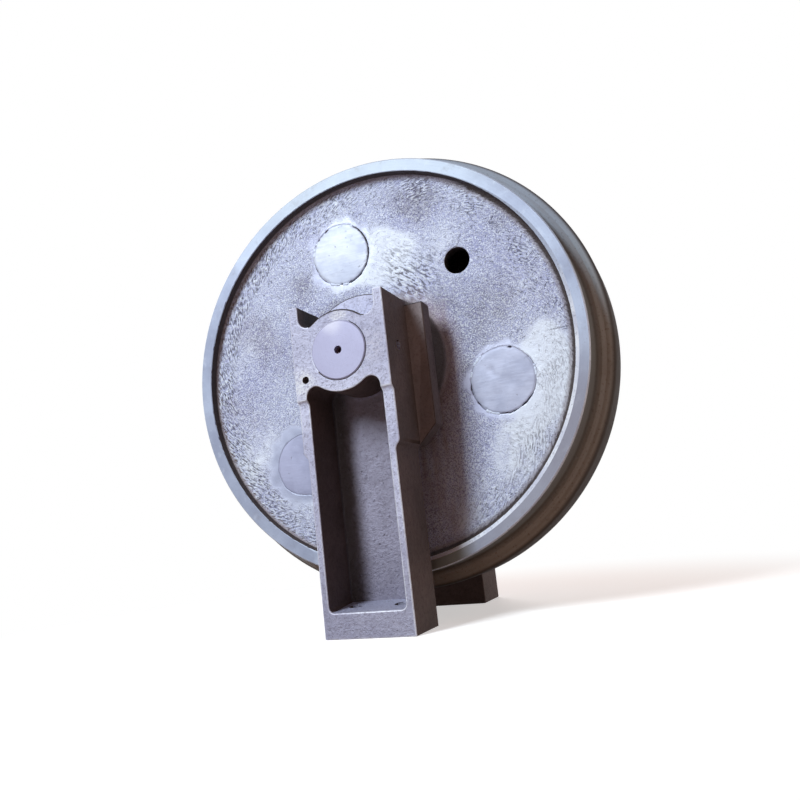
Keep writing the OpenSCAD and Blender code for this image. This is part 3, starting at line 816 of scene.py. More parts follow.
def web(side, seed):
    skin, hidden = web_outline()
    spacings = [WEB_SPACING] * len(skin) + [BACK_SPACING] * len(hidden)
    radius, angle, depth, rings = ring_points(skin + hidden, spacings)
    split = rings[len(skin)][0][0]
    triangles = stitch_all(rings)
    x = radius * np.cos(angle)
    z = radius * np.sin(angle)
    front = np.arange(len(x)) < split
    spacing = np.where(front, WEB_SPACING, BACK_SPACING)
    cuts = []
    for number, degrees in enumerate(PLATE_ANGLES):
        cuts.append((on_circle(degrees), lambda turn, n=number: seam_cut(turn, side, n, seed)))
    cuts.append((on_circle(HOLE_ANGLE), lambda turn: np.full(len(turn), HOLE_R + EDGE_BREAK)))
    x, z, triangles, edges = cut_openings(x, z, triangles, spacing, cuts)

    drop = np.zeros(len(x))
    for ids, centre in edges:
        outer = cut_ring(ids[front[ids]], centre, x, z)
        inner = cut_ring(ids[~front[ids]], centre, x, z)
        count = len(outer[0])
        wall = (len(x) + np.arange(count), outer[1])
        x = np.append(x, x[outer[0]] - EDGE_BREAK * np.cos(outer[1]))
        z = np.append(z, z[outer[0]] - EDGE_BREAK * np.sin(outer[1]))
        radius, angle, depth = (np.append(value, value[outer[0]]) for value in (radius, angle, depth))
        front = np.append(front, np.ones(count, bool))
        drop = np.append(drop, np.full(count, WALL_DROP))
        triangles = np.vstack([triangles, stitch(outer, wall), stitch(wall, inner)])

    moved = np.hypot(x, z)
    on_dish = front & (radius > HUB_ROOT_R + 1) & (radius < WEB_ROOT_R)
    depth = np.where(on_dish, web_face(moved), depth)
    height, masks = cast_skin(x, z, angle, moved, side, seed)
    lean = np.where(front, soft_step(radius, WEB_ROOT_R, RIM_IN_R - 0.5) * 0.9, 0.0)
    fade = np.where(front, 1 - 0.85 * soft_step(depth, 80, 86), 0.0)
    hubward = 0.3 + 0.7 * soft_step(moved, HUB_ROOT_R - 4, HUB_ROOT_R + 16)
    height = np.clip(height * fade * hubward, -2.2, 1.3)
    spin = np.arctan2(z, x)
    # This mask darkens the corner beside the rim, partly dirt and partly painted shade; it darkens the web
    # round the hub as painted shade, and covers the walls of the openings in full.
    corner = 0.45 * soft_step(moved, 277, 288) + 0.55 * soft_step(depth, 73.6, 77.5) * (moved > 270)
    on_right = soft_step(np.cos(angle - np.radians(-15)), -0.1, 0.5)
    corner = np.maximum(corner, on_right * soft_step(moved, 274, 289))
    masks["crust_and_shade"] = np.maximum(corner, 1 - soft_step(moved, 96, 122))
    masks["crust_and_shade"] = np.where(front & (drop == 0), masks["crust_and_shade"], 1.0)
    masks["hollow"] = np.where(drop == 0, masks["hollow"], 1.0)
    masks["stain_and_shade"] = stain_and_shade(x, z, side, seed)
    masks["painted_leg_shadow"] = painted_leg_shadow(x, z, side, seed)
    depth = depth + height * (1 - lean) - drop
    moved = moved - height * lean * 0.6
    piece = piece_from(side + "_web", round_point(moved, spin, depth, side), triangles, masks)
    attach(piece, "wheel")
    return piece


webs = [web(side, seed) for side, seed in SEEDS.items()]

# %% [markdown]
# ## Finish of the webs
# Old aluminium-grey primer lies on the iron, ground bright round two of the plates. The third was dressed
# flush and stays dull. The wrinkles carry a painted highlight on their ridges and painted shade in their
# valleys and creases. The corner beside the rim is brown and darker, partly dirt and partly painted shade,
# and on the left it holds the rim's painted shadow. Beside the bracket the web is browned and darkened round
# the
# hub and below it: the painted shadow of the bracket and its leg. The masks that the skin left on its points
# say where, and two noises of different sizes break them up.


# %% Cast web
def cast_web():
    finish = Finish("cast_web")
    hollow = finish.attribute("hollow")
    ground = finish.attribute("ground")
    patch = finish.attribute("patch")
    crust_and_shade = finish.attribute("crust_and_shade")
    spot_stain_and_shade = finish.attribute("stain_and_shade")
    wrinkle = finish.attribute("wrinkle")
    cloud = finish.noise(11.0, detail=5.0, rough=0.6)
    grain = finish.between(finish.noise(560.0, detail=1.5, rough=0.6), 0.4, 0.6)
    sand = finish.noise(620.0, detail=3.0, rough=0.6)
    flow_steps = {"Vector": finish.attribute("flow", "Vector"), "Scale": (124, 395, 1)}
    flow_place = finish.node("ShaderNodeMapping", None, flow_steps)
    rim_folds = finish.noise(1.0, detail=1.0, rough=0.4, place=flow_place, twist=0.2)
    mid_folds = finish.noise(1.0, detail=1.0, rough=0.4, place=finish.turned(40.0, 0.0098, 0.0030), twist=0.2)
    by_rim = finish.between(finish.radius(), 0.240, 0.252)
    folds = by_rim * rim_folds + (1 - by_rim) * mid_folds
    # Masks for the painted highlight on the ridges of the wrinkles and the painted shade in their valleys.
    ridge_highlight = wrinkle * finish.between(folds, 0.53, 0.6)
    valley_shade = wrinkle * finish.between(folds, 0.45, 0.38)
    down_nick = finish.noise(1.0, detail=1.0, place=finish.turned(-52.0, 0.0068, 0.0025))
    flat_nick = finish.noise(1.0, detail=1.0, place=finish.turned(28.0, 0.0064, 0.0025))
    bare = 1 - 0.9 * ground
    nick = bare * (finish.between(down_nick, 0.66, 0.72) + finish.between(flat_nick, 0.67, 0.73)).clipped()
    skin = finish.mixed(finish.between(cloud, 0.36, 0.64), tone(190, 196, 236), tone(217, 225, 255))
    skin = finish.mixed(0.4 * finish.between(patch, 0.25, 0.7), skin, tone(208, 213, 245))
    brown_patch = finish.between(finish.noise(7.0, detail=4.0), 0.58, 0.72)
    skin = finish.mixed(0.5 * brown_patch, skin, tone(152, 143, 168))
    skin = finish.mixed(0.95 * finish.between(spot_stain_and_shade, 0.0, 0.9), skin, tone(233, 241, 255))
    # The dark spots include painted shade beside plate B and along the top of the guide plate.
    skin = finish.mixed(0.7 * finish.between(spot_stain_and_shade, -0.05, -0.9), skin, tone(127, 122, 143))
    white_wash = finish.between(spot_stain_and_shade, 0.1, 0.8)
    grainy = bare * (1 - 0.6 * wrinkle) * (1 - 0.75 * white_wash)
    skin = finish.mixed(0.55 * grainy * finish.between(grain, 0.42, 0.0), skin, tone(108, 111, 154))
    skin = finish.mixed(0.6 * grainy * finish.between(grain, 0.5, 1.0), skin, tone(238, 246, 255))
    skin = finish.mixed(0.3 * ground, skin, tone(208, 217, 237))
    skin = finish.mixed(0.9 * finish.attribute("dull"), skin, tone(152, 159, 186))
    # Painted highlight on the ridges and painted shade in the valleys.
    skin = finish.mixed(0.8 * ridge_highlight, skin, tone(236, 244, 255))
    skin = finish.mixed(0.8 * valley_shade, skin, tone(64, 63, 80))
    pricked = 0.42 + 0.3 * finish.between(finish.radius(), 0.2, 0.27)
    skin = finish.mixed(pricked * nick * (1 - 0.85 * white_wash), skin, tone(84, 88, 114))
    # Painted shade in the creases and on the walls of the openings.
    skin = finish.mixed(0.4 * finish.between(hollow, 0.3, 1.0), skin, tone(70, 67, 80))
    # Painted shadow of the bracket on the web beside the hub, in brown.
    hub_side_painted_shadow = finish.between(finish.radius(), 0.14, 0.10) * finish.between(finish.along("X"), 0.03, 0.09)
    skin = finish.mixed(0.45 * hub_side_painted_shadow, skin, tone(178, 140, 138))
    # The leg's painted shadow, a brown band that turns with the wheel.
    skin = finish.mixed(0.74 * finish.attribute("painted_leg_shadow"), skin, tone(142, 110, 104))
    # Darker in the corner beside the rim and round the hub, partly dirt and partly painted shade; on the left
    # it is the rim's painted shadow.
    to_right = finish.between(finish.along("X"), -0.1, 0.15)
    film = finish.mixed(to_right, tone(136, 114, 92), tone(146, 136, 142))
    rim_dirt_and_shade = crust_and_shade + 0.25 * (cloud - 0.5) + 0.2 * (valley_shade - ridge_highlight)
    skin = finish.mixed(0.65 * finish.between(rim_dirt_and_shade, 0.1, 0.65), skin, film)
    skin = finish.mixed(0.95 * finish.between(rim_dirt_and_shade, 0.62, 0.9), skin, tone(58, 46, 44))
    rough = 0.56 - 0.14 * ground + 0.2 * (grain - 0.5)
    relief = 0.5 * grainy * grain + 0.9 * ridge_highlight - 1.1 * valley_shade - 0.5 * nick + 0.2 * sand
    normal = finish.bump(relief, 0.0012, 0.9)
    return finish.done(skin, rough, normal, metallic=0.1, gloss=0.4)


cast_web_skin = cast_web()
for piece in webs:
    piece.data.materials.append(cast_web_skin)

# %% [markdown]
# ## The hub
# The hub is the thick sleeve in the middle of the casting, turned inside for the bushes and the seals. Little
# of it shows behind the bracket, but it closes the wheel from the side. A plain sweep of its section is
# enough, with the same rough finish outside.

# %% Sweep the hub
hub_half = [(54.09, 0.0), (54.09, 14.0), (47.09, 14.0), (47.09, 62.0), (54.1, 62.0), (54.1, 73.0)]
hub_half += [(72.5, 73.0), (72.5, 85.4), (73.1, 86.0), (90.0, 86.0), (91.4, 85.4), (92.0, 84.0)]
hub_half += [(92.0, 73.0), (100.0, 62.0), (100.0, 45.0), (96.0, 37.0), (77.09, 37.0), (77.09, 0.0)]
hub_half = filled(hub_half, 8.0)
hub_outline = hub_half + [(r, -a) for r, a in reversed(hub_half[1:-1])]
hub_r, hub_angle, hub_a, hub_rings = ring_points(hub_outline, [4.0] * len(hub_outline))
HUB_WITHOUT = ("hollow", "ground", "stain_and_shade", "wrinkle", "painted_leg_shadow", "dull")
hub_values = {label: np.zeros(len(hub_r)) for label in HUB_WITHOUT}
hub_values["patch"] = np.full(len(hub_r), 0.4)
hub_values["crust_and_shade"] = np.ones(len(hub_r))
hub = piece_from("wheel_hub", round_point(hub_r, hub_angle, hub_a, "near"), stitch_all(hub_rings), hub_values)
hub.data.set_sharp_from_angle(angle=math.radians(32))
hub.data.materials.append(cast_web_skin)
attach(hub, "wheel")
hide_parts("idler_wheel")
for piece in (*webs, hub):
    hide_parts("idler_wheel")

# %% [markdown]
# ## Core plates
# The sand core was shaken out through round openings, which were then closed with thick steel plates. Each
# plate follows the dish of the web, stands a little proud, and was dressed with a grinder, so its middle is
# faintly domed and its edge is uneven.


# %% Build a core plate
PLATE_PALE = {"near": (1.0, 0.1, 0.4), "far": (0.6, 0.2, 0.8)}
DIMPLES = {("near", 2): [(-15, 17, 4.5, 0.9), (-11, 9, 3.5, 0.6), (9, -3, 9, 0.5), (-4, -20, 11, 0.4)]}
PLATE_PROUD = {"near": (0.8, 0.15, 0.8), "far": (0.8, 0.8, 0.6)}


def core_plate(side, number, seed):
    rims = [(r, 0) for r in (1.6, 4, 8, 12, 16, 20, 24, 28, 32, 35, 38, 40.5, 42.5, 44, 45.0)]
    rims += [(45.6, 0.1), (46.0, 0.8), (46.1, 4), (46.1, 12), (46.1, 20)]
    rims += [(r, 21) for r in (40, 28, 14, 4, 1.6)]
    spread = [2.4] * 19 + [6.0] * 6
    reach, turn, drop, rings = ring_points(rims, spread)
    centre = on_circle(PLATE_ANGLES[number])
    gap = seam_gap(turn, side, number, seed)
    shut = (1 - gap) * soft_step(reach, 45.2, 46.0) * (drop < 0.9)
    wobble = seam_radius(turn, seed + number) / PLATE_R
    around = np.column_stack([np.cos(turn), np.sin(turn), np.full(len(turn), 0.3)])
    teeth = lattice_noise(around * 13.0, seed + 74)
    inset = gap * (0.3 + 1.6 * np.clip(teeth, 0, 1)) * soft_step(reach, 43, 45.6)
    reach = reach * np.where(reach > 30, wobble, 1.0) + 1.75 * shut - inset
    drop = drop * (1 - 0.8 * shut)
    x = centre[0] + reach * np.cos(turn)
    z = centre[1] + reach * np.sin(turn)
    spot = np.column_stack([x, z, np.full(len(x), seed * 5.0)])
    dents = 0.32 * lattice_noise(spot / 21.0, seed + 70) + 0.16 * lattice_noise(spot / 8.0, seed + 73)
    for dimple_x, dimple_z, size, depth_in in DIMPLES.get((side, number), []):
        away = np.hypot(x - centre[0] - dimple_x, z - centre[1] - dimple_z) / size
        dents = dents - depth_in * np.exp(-away * away)
    dome = 0.7 * (1 - (np.minimum(reach, PLATE_R) / PLATE_R) ** 2) + dents * (1 - soft_step(reach, 40, 46))
    chipped = soft_step(lattice_noise(spot / 7.0, seed + 71), 0.15, 0.5)
    worn_edge = 0.9 * gap * chipped * soft_step(reach, 41, 46)
    flush = 1 - 0.9 * GROUND_DULL[side][number]
    fall = flush * (0.65 + 0.25 * gap) * soft_step(reach, 44.5, 46.6)
    face = np.where(drop < 0.9, dome - worn_edge - fall, 0.0)
    depth = web_face(np.hypot(x, z)) + swell(x, z, seed) + PLATE_PROUD[side][number] + face - drop
    triangles = stitch_all(rings, closed=False).tolist()
    triangles.append(rings[0][0].tolist())
    triangles.append(rings[-1][0].tolist())
    label = "_core_plate_" + str(number + 1)
    points = round_point(np.hypot(x, z), np.arctan2(z, x), depth, side)
    edge = gap * soft_step(reach + 2.5 * lattice_noise(spot / 6.0, seed + 72), 41, 46)
    pale = np.full(len(x), PLATE_PALE[side][number])
    piece = piece_from(side + label, points, triangles, {"edge": edge, "pale": pale})
    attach(piece, "wheel")
    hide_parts(side + "_core_plug_" + str(number + 1))
    return piece


plates = [core_plate(side, number, seed) for side, seed in SEEDS.items() for number in range(3)]


# %% Ground steel plate
def ground_plate():
    finish = Finish("ground_plate")
    edge = finish.attribute("edge")
    cloud = finish.noise(24.0, detail=4.0)
    swirl = finish.noise(60.0, detail=5.0, place=finish.stretched(1.0, 1.0, 5.0))
    pit = finish.between(finish.noise(150.0, detail=2.0), 0.66, 0.78)
    dull_plate = finish.mixed(finish.between(cloud, 0.35, 0.65), tone(140, 143, 173), tone(162, 165, 196))
    bright_plate = finish.mixed(finish.between(cloud, 0.35, 0.65), tone(190, 198, 218), tone(211, 218, 233))
    plate = finish.mixed(finish.attribute("pale"), dull_plate, bright_plate)
    plate = finish.mixed(0.1 * finish.between(swirl, 0.45, 0.7), plate, tone(150, 156, 182))
    plate = finish.mixed(0.6 * pit, plate, tone(112, 110, 126))
    plate = finish.mixed(0.5 * edge, plate, tone(150, 150, 170))
    rough = 0.44 + 0.2 * swirl
    normal = finish.bump(0.7 * swirl - 0.8 * pit, 0.0005, 0.6)
    return finish.done(plate, rough, normal, metallic=0.2, gloss=0.45)


plate_skin = ground_plate()
for piece in plates:
    piece.data.materials.append(plate_skin)

# %% [markdown]
# ## Welds round the plates
# A weld is laid as a row of overlapping puddles. Each plate's seam is drawn as a path, and a node tree walks
# along it and sets a small flat drop at every step. The grinder took most of them off, so each point of the
# path carries how hard it was dressed, and drops stand only where that is little. One tree serves both sides.


# %% Node trees with named inputs
def start_tree(name, inputs):
    """An empty geometry tree with named inputs, and the sockets of those inputs."""
    tree = bpy.data.node_groups.new(name, "GeometryNodeTree")
    tree.interface.new_socket("Geometry", in_out="INPUT", socket_type="NodeSocketGeometry")
    for label, kind in inputs:
        tree.interface.new_socket(label, in_out="INPUT", socket_type=kind)
    tree.interface.new_socket("Geometry", in_out="OUTPUT", socket_type="NodeSocketGeometry")
    given = tree.nodes.new("NodeGroupInput")
    return tree, given.outputs


def add_node(tree, kind, settings=None, sockets=None):
    made = tree.nodes.new(kind)
    for name, value in (settings or {}).items():
        setattr(made, name, value)
    for name, value in (sockets or {}).items():
        if isinstance(value, bpy.types.NodeSocket):
            tree.links.new(value, made.inputs[name])
        else:
            made.inputs[name].default_value = value
    return made


def set_blobs(tree, given, points, width, height, sizes, chosen=None):
    """Sets a flat blob of random size at each point, or only at the chosen points."""
    ball = add_node(tree, "GeometryNodeMeshIcoSphere", None, {"Radius": 0.5, "Subdivisions": 2})
    spread = {"X": given[width], "Y": given[height], "Z": given[width]}
    size = add_node(tree, "ShaderNodeCombineXYZ", None, spread)
    squash = {"Geometry": ball.outputs["Mesh"], "Scale": size.outputs[0]}
    flat = add_node(tree, "GeometryNodeTransform", None, squash)
    draw = {2: sizes[0], 3: sizes[1], "Seed": given["Seed"]}
    scale = add_node(tree, "FunctionNodeRandomValue", {"data_type": "FLOAT"}, draw)
    sockets = {"Points": points, "Instance": flat.outputs[0], "Scale": scale.outputs[1]}
    if chosen is not None:
        sockets["Selection"] = chosen
    return add_node(tree, "GeometryNodeInstanceOnPoints", None, sockets).outputs[0]


def finish_tree(tree, instances, material):
    real = add_node(tree, "GeometryNodeRealizeInstances", None, {"Geometry": instances})
    coat = {"Geometry": real.outputs[0], "Material": material}
    painted = add_node(tree, "GeometryNodeSetMaterial", None, coat)
    result = tree.nodes.new("NodeGroupOutput")
    tree.links.new(painted.outputs[0], result.inputs[0])


def grow(name, tree, base_mesh, sizes):
    """Runs a tree on a mesh and keeps the result as a plain piece."""
    piece = bpy.data.objects.new(name, base_mesh)
    bpy.context.scene.collection.objects.link(piece)
    modifier = piece.modifiers.new(name, "NODES")
    modifier.node_group = tree
    for item in tree.interface.items_tree:
        if item.in_out == "INPUT" and item.name in sizes:
            modifier[item.identifier] = sizes[item.name]
    ready = bpy.context.evaluated_depsgraph_get()
    grown = bpy.data.meshes.new_from_object(piece.evaluated_get(ready), depsgraph=ready)
    piece.modifiers.clear()
    piece.data = grown
    grown.shade_smooth()
    print(name, len(grown.polygons), "faces")
    return piece


# %% The bead tree
def weld_finish():
    finish = Finish("weld_bead")
    cloud = finish.noise(90.0, detail=4.0)
    soot = finish.between(finish.noise(38.0, detail=4.0), 0.5, 0.66)
    bead = finish.mixed(finish.between(cloud, 0.3, 0.7), tone(190, 198, 220), tone(214, 223, 240))
    bead = finish.mixed(0.35 * soot, bead, tone(120, 118, 134))
    normal = finish.bump(finish.noise(480.0), 0.0005, 0.6)
    return finish.done(bead, 0.45 + 0.15 * cloud, normal, metallic=0.2, gloss=0.45)


bead_tree, bead_in = start_tree(
    "weld_bead",
    [
        ("Step", "NodeSocketFloat"),
        ("Bead width", "NodeSocketFloat"),
        ("Bead height", "NodeSocketFloat"),
        ("Left standing", "NodeSocketFloat"),
        ("Seed", "NodeSocketInt"),
    ],
)
seam_curve = add_node(bead_tree, "GeometryNodeMeshToCurve", None, {"Mesh": bead_in["Geometry"]})
seam_steps = add_node(
    bead_tree,
    "GeometryNodeResampleCurve",
    {"mode": "LENGTH"},
    {"Curve": seam_curve.outputs[0], "Length": bead_in["Step"]},
)
bead_left = add_node(bead_tree, "GeometryNodeInputNamedAttribute", {"data_type": "FLOAT"}, {"Name": "left"})
standing = add_node(
    bead_tree,
    "FunctionNodeCompare",
    {"data_type": "FLOAT", "operation": "LESS_THAN"},
    {"A": bead_left.outputs[0], "B": bead_in["Left standing"]},
)
BEAD_SIZE = ("Bead width", "Bead height", (0.7, 1.25))
drops = set_blobs(bead_tree, bead_in, seam_steps.outputs[0], *BEAD_SIZE, standing.outputs[0])
finish_tree(bead_tree, drops, weld_finish())


# %% Lay the welds
def seam_path(side, seed):
    """The seams of a side's three plates as closed lines on the web."""
    points = []
    lines = []
    left = []
    turn = np.linspace(0, 2 * np.pi, 120, endpoint=False)
    around = np.column_stack([np.cos(turn), np.sin(turn), np.zeros(len(turn))])
    for number, degrees in enumerate(PLATE_ANGLES):
        centre = on_circle(degrees)
        reach = seam_radius(turn, seed + number) + 0.3
        x = centre[0] + reach * np.cos(turn)
        z = centre[1] + reach * np.sin(turn)
        radius = np.hypot(x, z)
        start = len(points)
        on_web = web_face(radius) + swell(x, z, seed)
        points += round_point(radius, np.arctan2(z, x), on_web, side).tolist()
        standing = 0.5 + 0.5 * lattice_noise(around * 2.6 + number, seed + 90) + GROUND_DULL[side][number]
        left += (standing + seam_gap(turn, side, number, seed)).tolist()
        lines += [(start + step, start + (step + 1) % len(turn)) for step in range(len(turn))]
    path = bpy.data.meshes.new(side + "_seams")
    path.from_pydata(points, lines, [])
    path.attributes.new("left", "FLOAT", "POINT").data.foreach_set("value", left)
    return path


BEAD = {"Step": 0.0024, "Bead width": 0.0042, "Bead height": 0.0012, "Left standing": 0.46}
for side, seed in SEEDS.items():
    beads = grow(side + "_plate_welds", bead_tree, seam_path(side, seed), {**BEAD, "Seed": seed})
    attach(beads, "wheel")

# %% [markdown]
# ## The brackets
# Each bracket is one casting: a ring round the shaft with two horns, a long leg with a pocket in it, a foot,
# and a guide plate behind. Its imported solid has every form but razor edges. A merged copy gets its edges
# rounded, large in the corners of the pocket and small elsewhere, and the new edge faces are kept apart so
# that they can be worn bright.


# %% Where a bracket's edges lie
EDGE_ROUND = 1.6 * MM
FLOOR_ROUND = 4.0 * MM
PLATE_ROUND = 3.0 * MM
PAD_FRONT = 199.0
GUIDE_FRONT = 118.0
POCKET_FLOOR = 122.0
RING_R = 56.0
HEAD_HALF = 70.5
BOLT_AT = (33.0, 152.5)
PIN_AT = (0.0, 158.5)
TAPPED_AT = (-53.5, -32.0)
SHOULDER_H = 66.0
NECK_H = -132.0
FRONT, FLANK, POCKET, WORN, DARK_EDGE, GUIDE_SHADED = range(6)


def spot(point, turn):
    """A point of either bracket in mm: across it, outwards along the shaft, and up from the axle."""
    return turn * point.x / MM, -turn * point.y / MM, (point.z - AXLE.z) / MM


def at_hole(x, a, h):
    """The bore, the seal seat, the bolt holes, the pin hole and the tapped hole keep their crisp edges."""
    bore = math.hypot(x, h) < 46
    seat = math.hypot(x, h) < 62 and a < 117
    bolt = h < -330 and math.dist((abs(x), a), BOLT_AT) < 13
    pin = x > 36 and math.dist((h, a), PIN_AT) < 10
    tapped = math.dist((x, h), TAPPED_AT) < 7
    return bore or seat or bolt or pin or tapped


def at_tight_corner(x, a, h):
    """Corners with too little room for a rounding: the plate's shoulders, the neck and the pocket's ends."""
    shoulder = a < 119.5 and math.dist((abs(x), h), (HEAD_HALF, SHOULDER_H)) < 6
    neck = a < 123 and math.dist((abs(x), h), (HEAD_HALF, NECK_H)) < 5.5
    pocket_end = a < 124 and abs(x) > 46 and h < -332.5
    return shoulder or neck or pocket_end


# %% Round the edges of a bracket
def soften(body, turn, amount, inward, level=None):
    """Rounds the sharp edges that point outwards, or the inward ones that lie at one level."""
    chosen = []
    for edge in body.edges:
        bend = edge.calc_face_angle_signed(0)
        ends = [spot(point.co, turn) for point in edge.verts]
        if abs(bend) < math.radians(34) or (bend < 0) != inward:
            continue
        if level is not None and any(abs(end[1] - level) > 0.4 for end in ends):
            continue
        if not any(at_hole(*end) for end in ends) and not all(at_tight_corner(*end) for end in ends):
            chosen.append(edge)
    result = bmesh.ops.bevel(
        body,
        geom=chosen,
        offset=amount,
        offset_type="OFFSET",
        segments=3,
        profile=0.5,
        affect="EDGES",
        clamp_overlap=False,
    )
    return result["faces"]


def plain_finish(face, turn):
    """The finish of a flat of the casting, by the way it faces and where it lies."""
    x, a, h = spot(face.calc_center_median(), turn)
    out = -turn * face.normal.y
    # The chamfer of the bore: the painted shadow of the proud shaft end on its lower right, rubbed bright
    # elsewhere.
    if math.hypot(x, h) < 44 and 0.3 < out < 0.95:
        return DARK_EDGE if 0.75 * x - 0.66 * h > -8 else WORN
    # Flanks, undersides and backs take the dark flank finish, partly the raw casting and partly painted
    # shade.
    if abs(face.normal.x) > 0.6 or face.normal.z < -0.5 or out < -0.5:
        return FRONT if out > 0.5 else FLANK
    if abs(a - POCKET_FLOOR) < 1 and h < 0:
        return POCKET
    # The guide plate's face beside the head takes a darker copy of the front: the painted shadow of the head.
    if abs(a - GUIDE_FRONT) < 1 and abs(x) > HEAD_HALF:
        return GUIDE_SHADED
    return FRONT


def edge_finish(face, turn):
    """Rubbed bright round the front, a dark line on top of the ring, painted shade on top of the guide plate,
    brown elsewhere.
    """
    x, a, h = spot(face.calc_center_median(), turn)
    if abs(math.hypot(x, h) - RING_R) < 2.5 and h > 36 and x > -42:
        return DARK_EDGE
    if a > PAD_FRONT - 9:
        return WORN
    return DARK_EDGE if h > 60 and a > GUIDE_FRONT - 3 else FLANK


# %% Build a bracket
def bracket(side):
    turn = TURN[side]
    body = bmesh.new()
    body.from_mesh(NODES[side + "_bracket"].data)
    bmesh.ops.remove_doubles(body, verts=body.verts, dist=0.02 * MM)
    bmesh.ops.dissolve_limit(body, angle_limit=math.radians(0.6), verts=body.verts, edges=body.edges)
    for face in body.faces:
        face.smooth = True
        face.material_index = plain_finish(face, turn)
    for face in soften(body, turn, FLOOR_ROUND, True, POCKET_FLOOR):
        face.material_index = POCKET
    for face in soften(body, turn, PLATE_ROUND, True, GUIDE_FRONT):
        face.material_index = FLANK
    for face in soften(body, turn, EDGE_ROUND, False):
        face.material_index = edge_finish(face, turn)
    mesh = bpy.data.meshes.new(side + "_casting")
    open_edges = sum(1 for edge in body.edges if not edge.is_manifold)
    body.to_mesh(mesh)
    body.free()
    piece = bpy.data.objects.new(side + "_casting", mesh)
    bpy.context.scene.collection.objects.link(piece)
    even = piece.modifiers.new("even_shading", "WEIGHTED_NORMAL")
    even.keep_sharp = True
    even.weight = 90
    mesh.set_sharp_from_angle(angle=math.radians(40))
    print(piece.name, len(mesh.polygons), "faces,", open_edges, "open edges")
    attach(piece, "frame")
    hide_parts(side + "_bracket")
    return piece


brackets = [bracket("near"), bracket("far")]

# %% [markdown]
# ## Finish of the brackets
# The front is fine sand casting under grey primer, with pits, rubbed spots and scratches. The flanks were
# never dressed; they, the undersides and the backs are dark rust-brown, partly the raw casting and partly
# painted shade. Beside the head the face of the guide plate takes a darker copy of the front, a little paler
# than the flanks: the painted shadow of the head. The floor of the pocket is coarser and duller, and carries
# the painted shadow of its left wall. Front and floor grow darker towards the bottom, which is painted shade.
# The rounded edges carry a dark line on top of the ring and painted shade on top of the guide plate, and the
# chamfer of the bore is painted shade on its lower right; elsewhere edges are rubbed bright in places. One
# recipe makes all six from their own colours and grain.


# %% Sand casting recipe
def sand_cast(
    name,
    light,
    mid,
    dark,
    grain,
    depth,
    pits,
    rough_base,
    flecks=0.5,
    grit=0.4,
    metallic=0.1,
    gloss=0.4,
    marks=(),
    low_painted_shade=0.0,
    left_wall_shadow=0.0,
    ring_top_line=0.0,
):
    finish = Finish(name)
    cloud = finish.noise(13.0, detail=5.0, rough=0.6)
    sand = finish.noise(grain, detail=4.0, rough=0.62)
    coarse = finish.noise(grain * 0.4, detail=3.0, rough=0.6)
    fine = finish.noise(grain * 2.7, detail=2.0)
    pit = finish.between(finish.cells(grain * 0.42), 0.2, 0.06)
    chosen = finish.between(finish.noise(grain * 0.3), 0.52, 0.62)
    rub = finish.noise(30.0, detail=6.0, rough=0.7, place=finish.stretched(1.0, 1.0, 0.25))
    cast = finish.mixed(finish.between(cloud, 0.34, 0.66), mid, light)
    cast = finish.mixed(grit * finish.between(sand, 0.5, 0.68), cast, dark)
    cast = finish.mixed(0.45 * grit * finish.between(coarse, 0.52, 0.68), cast, dark)
    cast = finish.mixed(flecks * finish.between(coarse, 0.46, 0.3), cast, light)
    cast = finish.mixed(0.45 * finish.between(rub, 0.6, 0.76), cast, light)
    for centre, reach, colour, patchy in marks:
        near_mark = finish.between(finish.distance(centre) + 0.02 * (coarse - 0.5), reach, 0.35 * reach)
        cover = 1 - patchy * finish.between(sand, 0.4, 0.6)
        cast = finish.mixed(near_mark * cover, cast, colour)
    # Painted shade: darker towards the bottom.
    low_down = finish.between(finish.along("Z"), 0.2, 0.02)
    cast = finish.mixed(low_painted_shade * low_down, cast, dark)
    # The painted shadow of the pocket's left wall on its floor.
    left_wall_shadow_mask = finish.between(finish.along("X") + 0.02 * (coarse - 0.5), -0.02, -0.046)
    cast = finish.mixed(left_wall_shadow * left_wall_shadow_mask, cast, tone(66, 58, 52))
    # A dark line along the top of the ring.
    on_ring = finish.between(finish.apart(finish.radius(), 0.0545), 0.0014, 0.0007)
    on_top = finish.between(finish.along("Z"), 0.411, 0.418)
    on_top = on_top * finish.between(finish.along("X"), -0.03, -0.012)
    cast = finish.mixed(ring_top_line * on_ring * on_top, cast, tone(62, 54, 72))
    hole = pits * pit * chosen
    cast = finish.mixed(0.8 * hole, cast, dark)
    rough = rough_base + 0.22 * (sand - 0.5) + 0.1 * hole
    normal = finish.bump(sand + 0.8 * coarse + 0.4 * fine - 0.9 * hole, depth, 0.85)
    return finish.done(cast, rough, normal, metallic=metallic, gloss=gloss)


FRONT_MARKS = [
    ((-0.058, -0.199, 0.338), 0.026, tone(234, 238, 248), 0.8),
    ((0.005, -0.199, 0.4235), 0.016, tone(226, 229, 242), 0.7),
    ((0.050, -0.199, 0.372), 0.030, tone(206, 207, 228), 1.0),
]
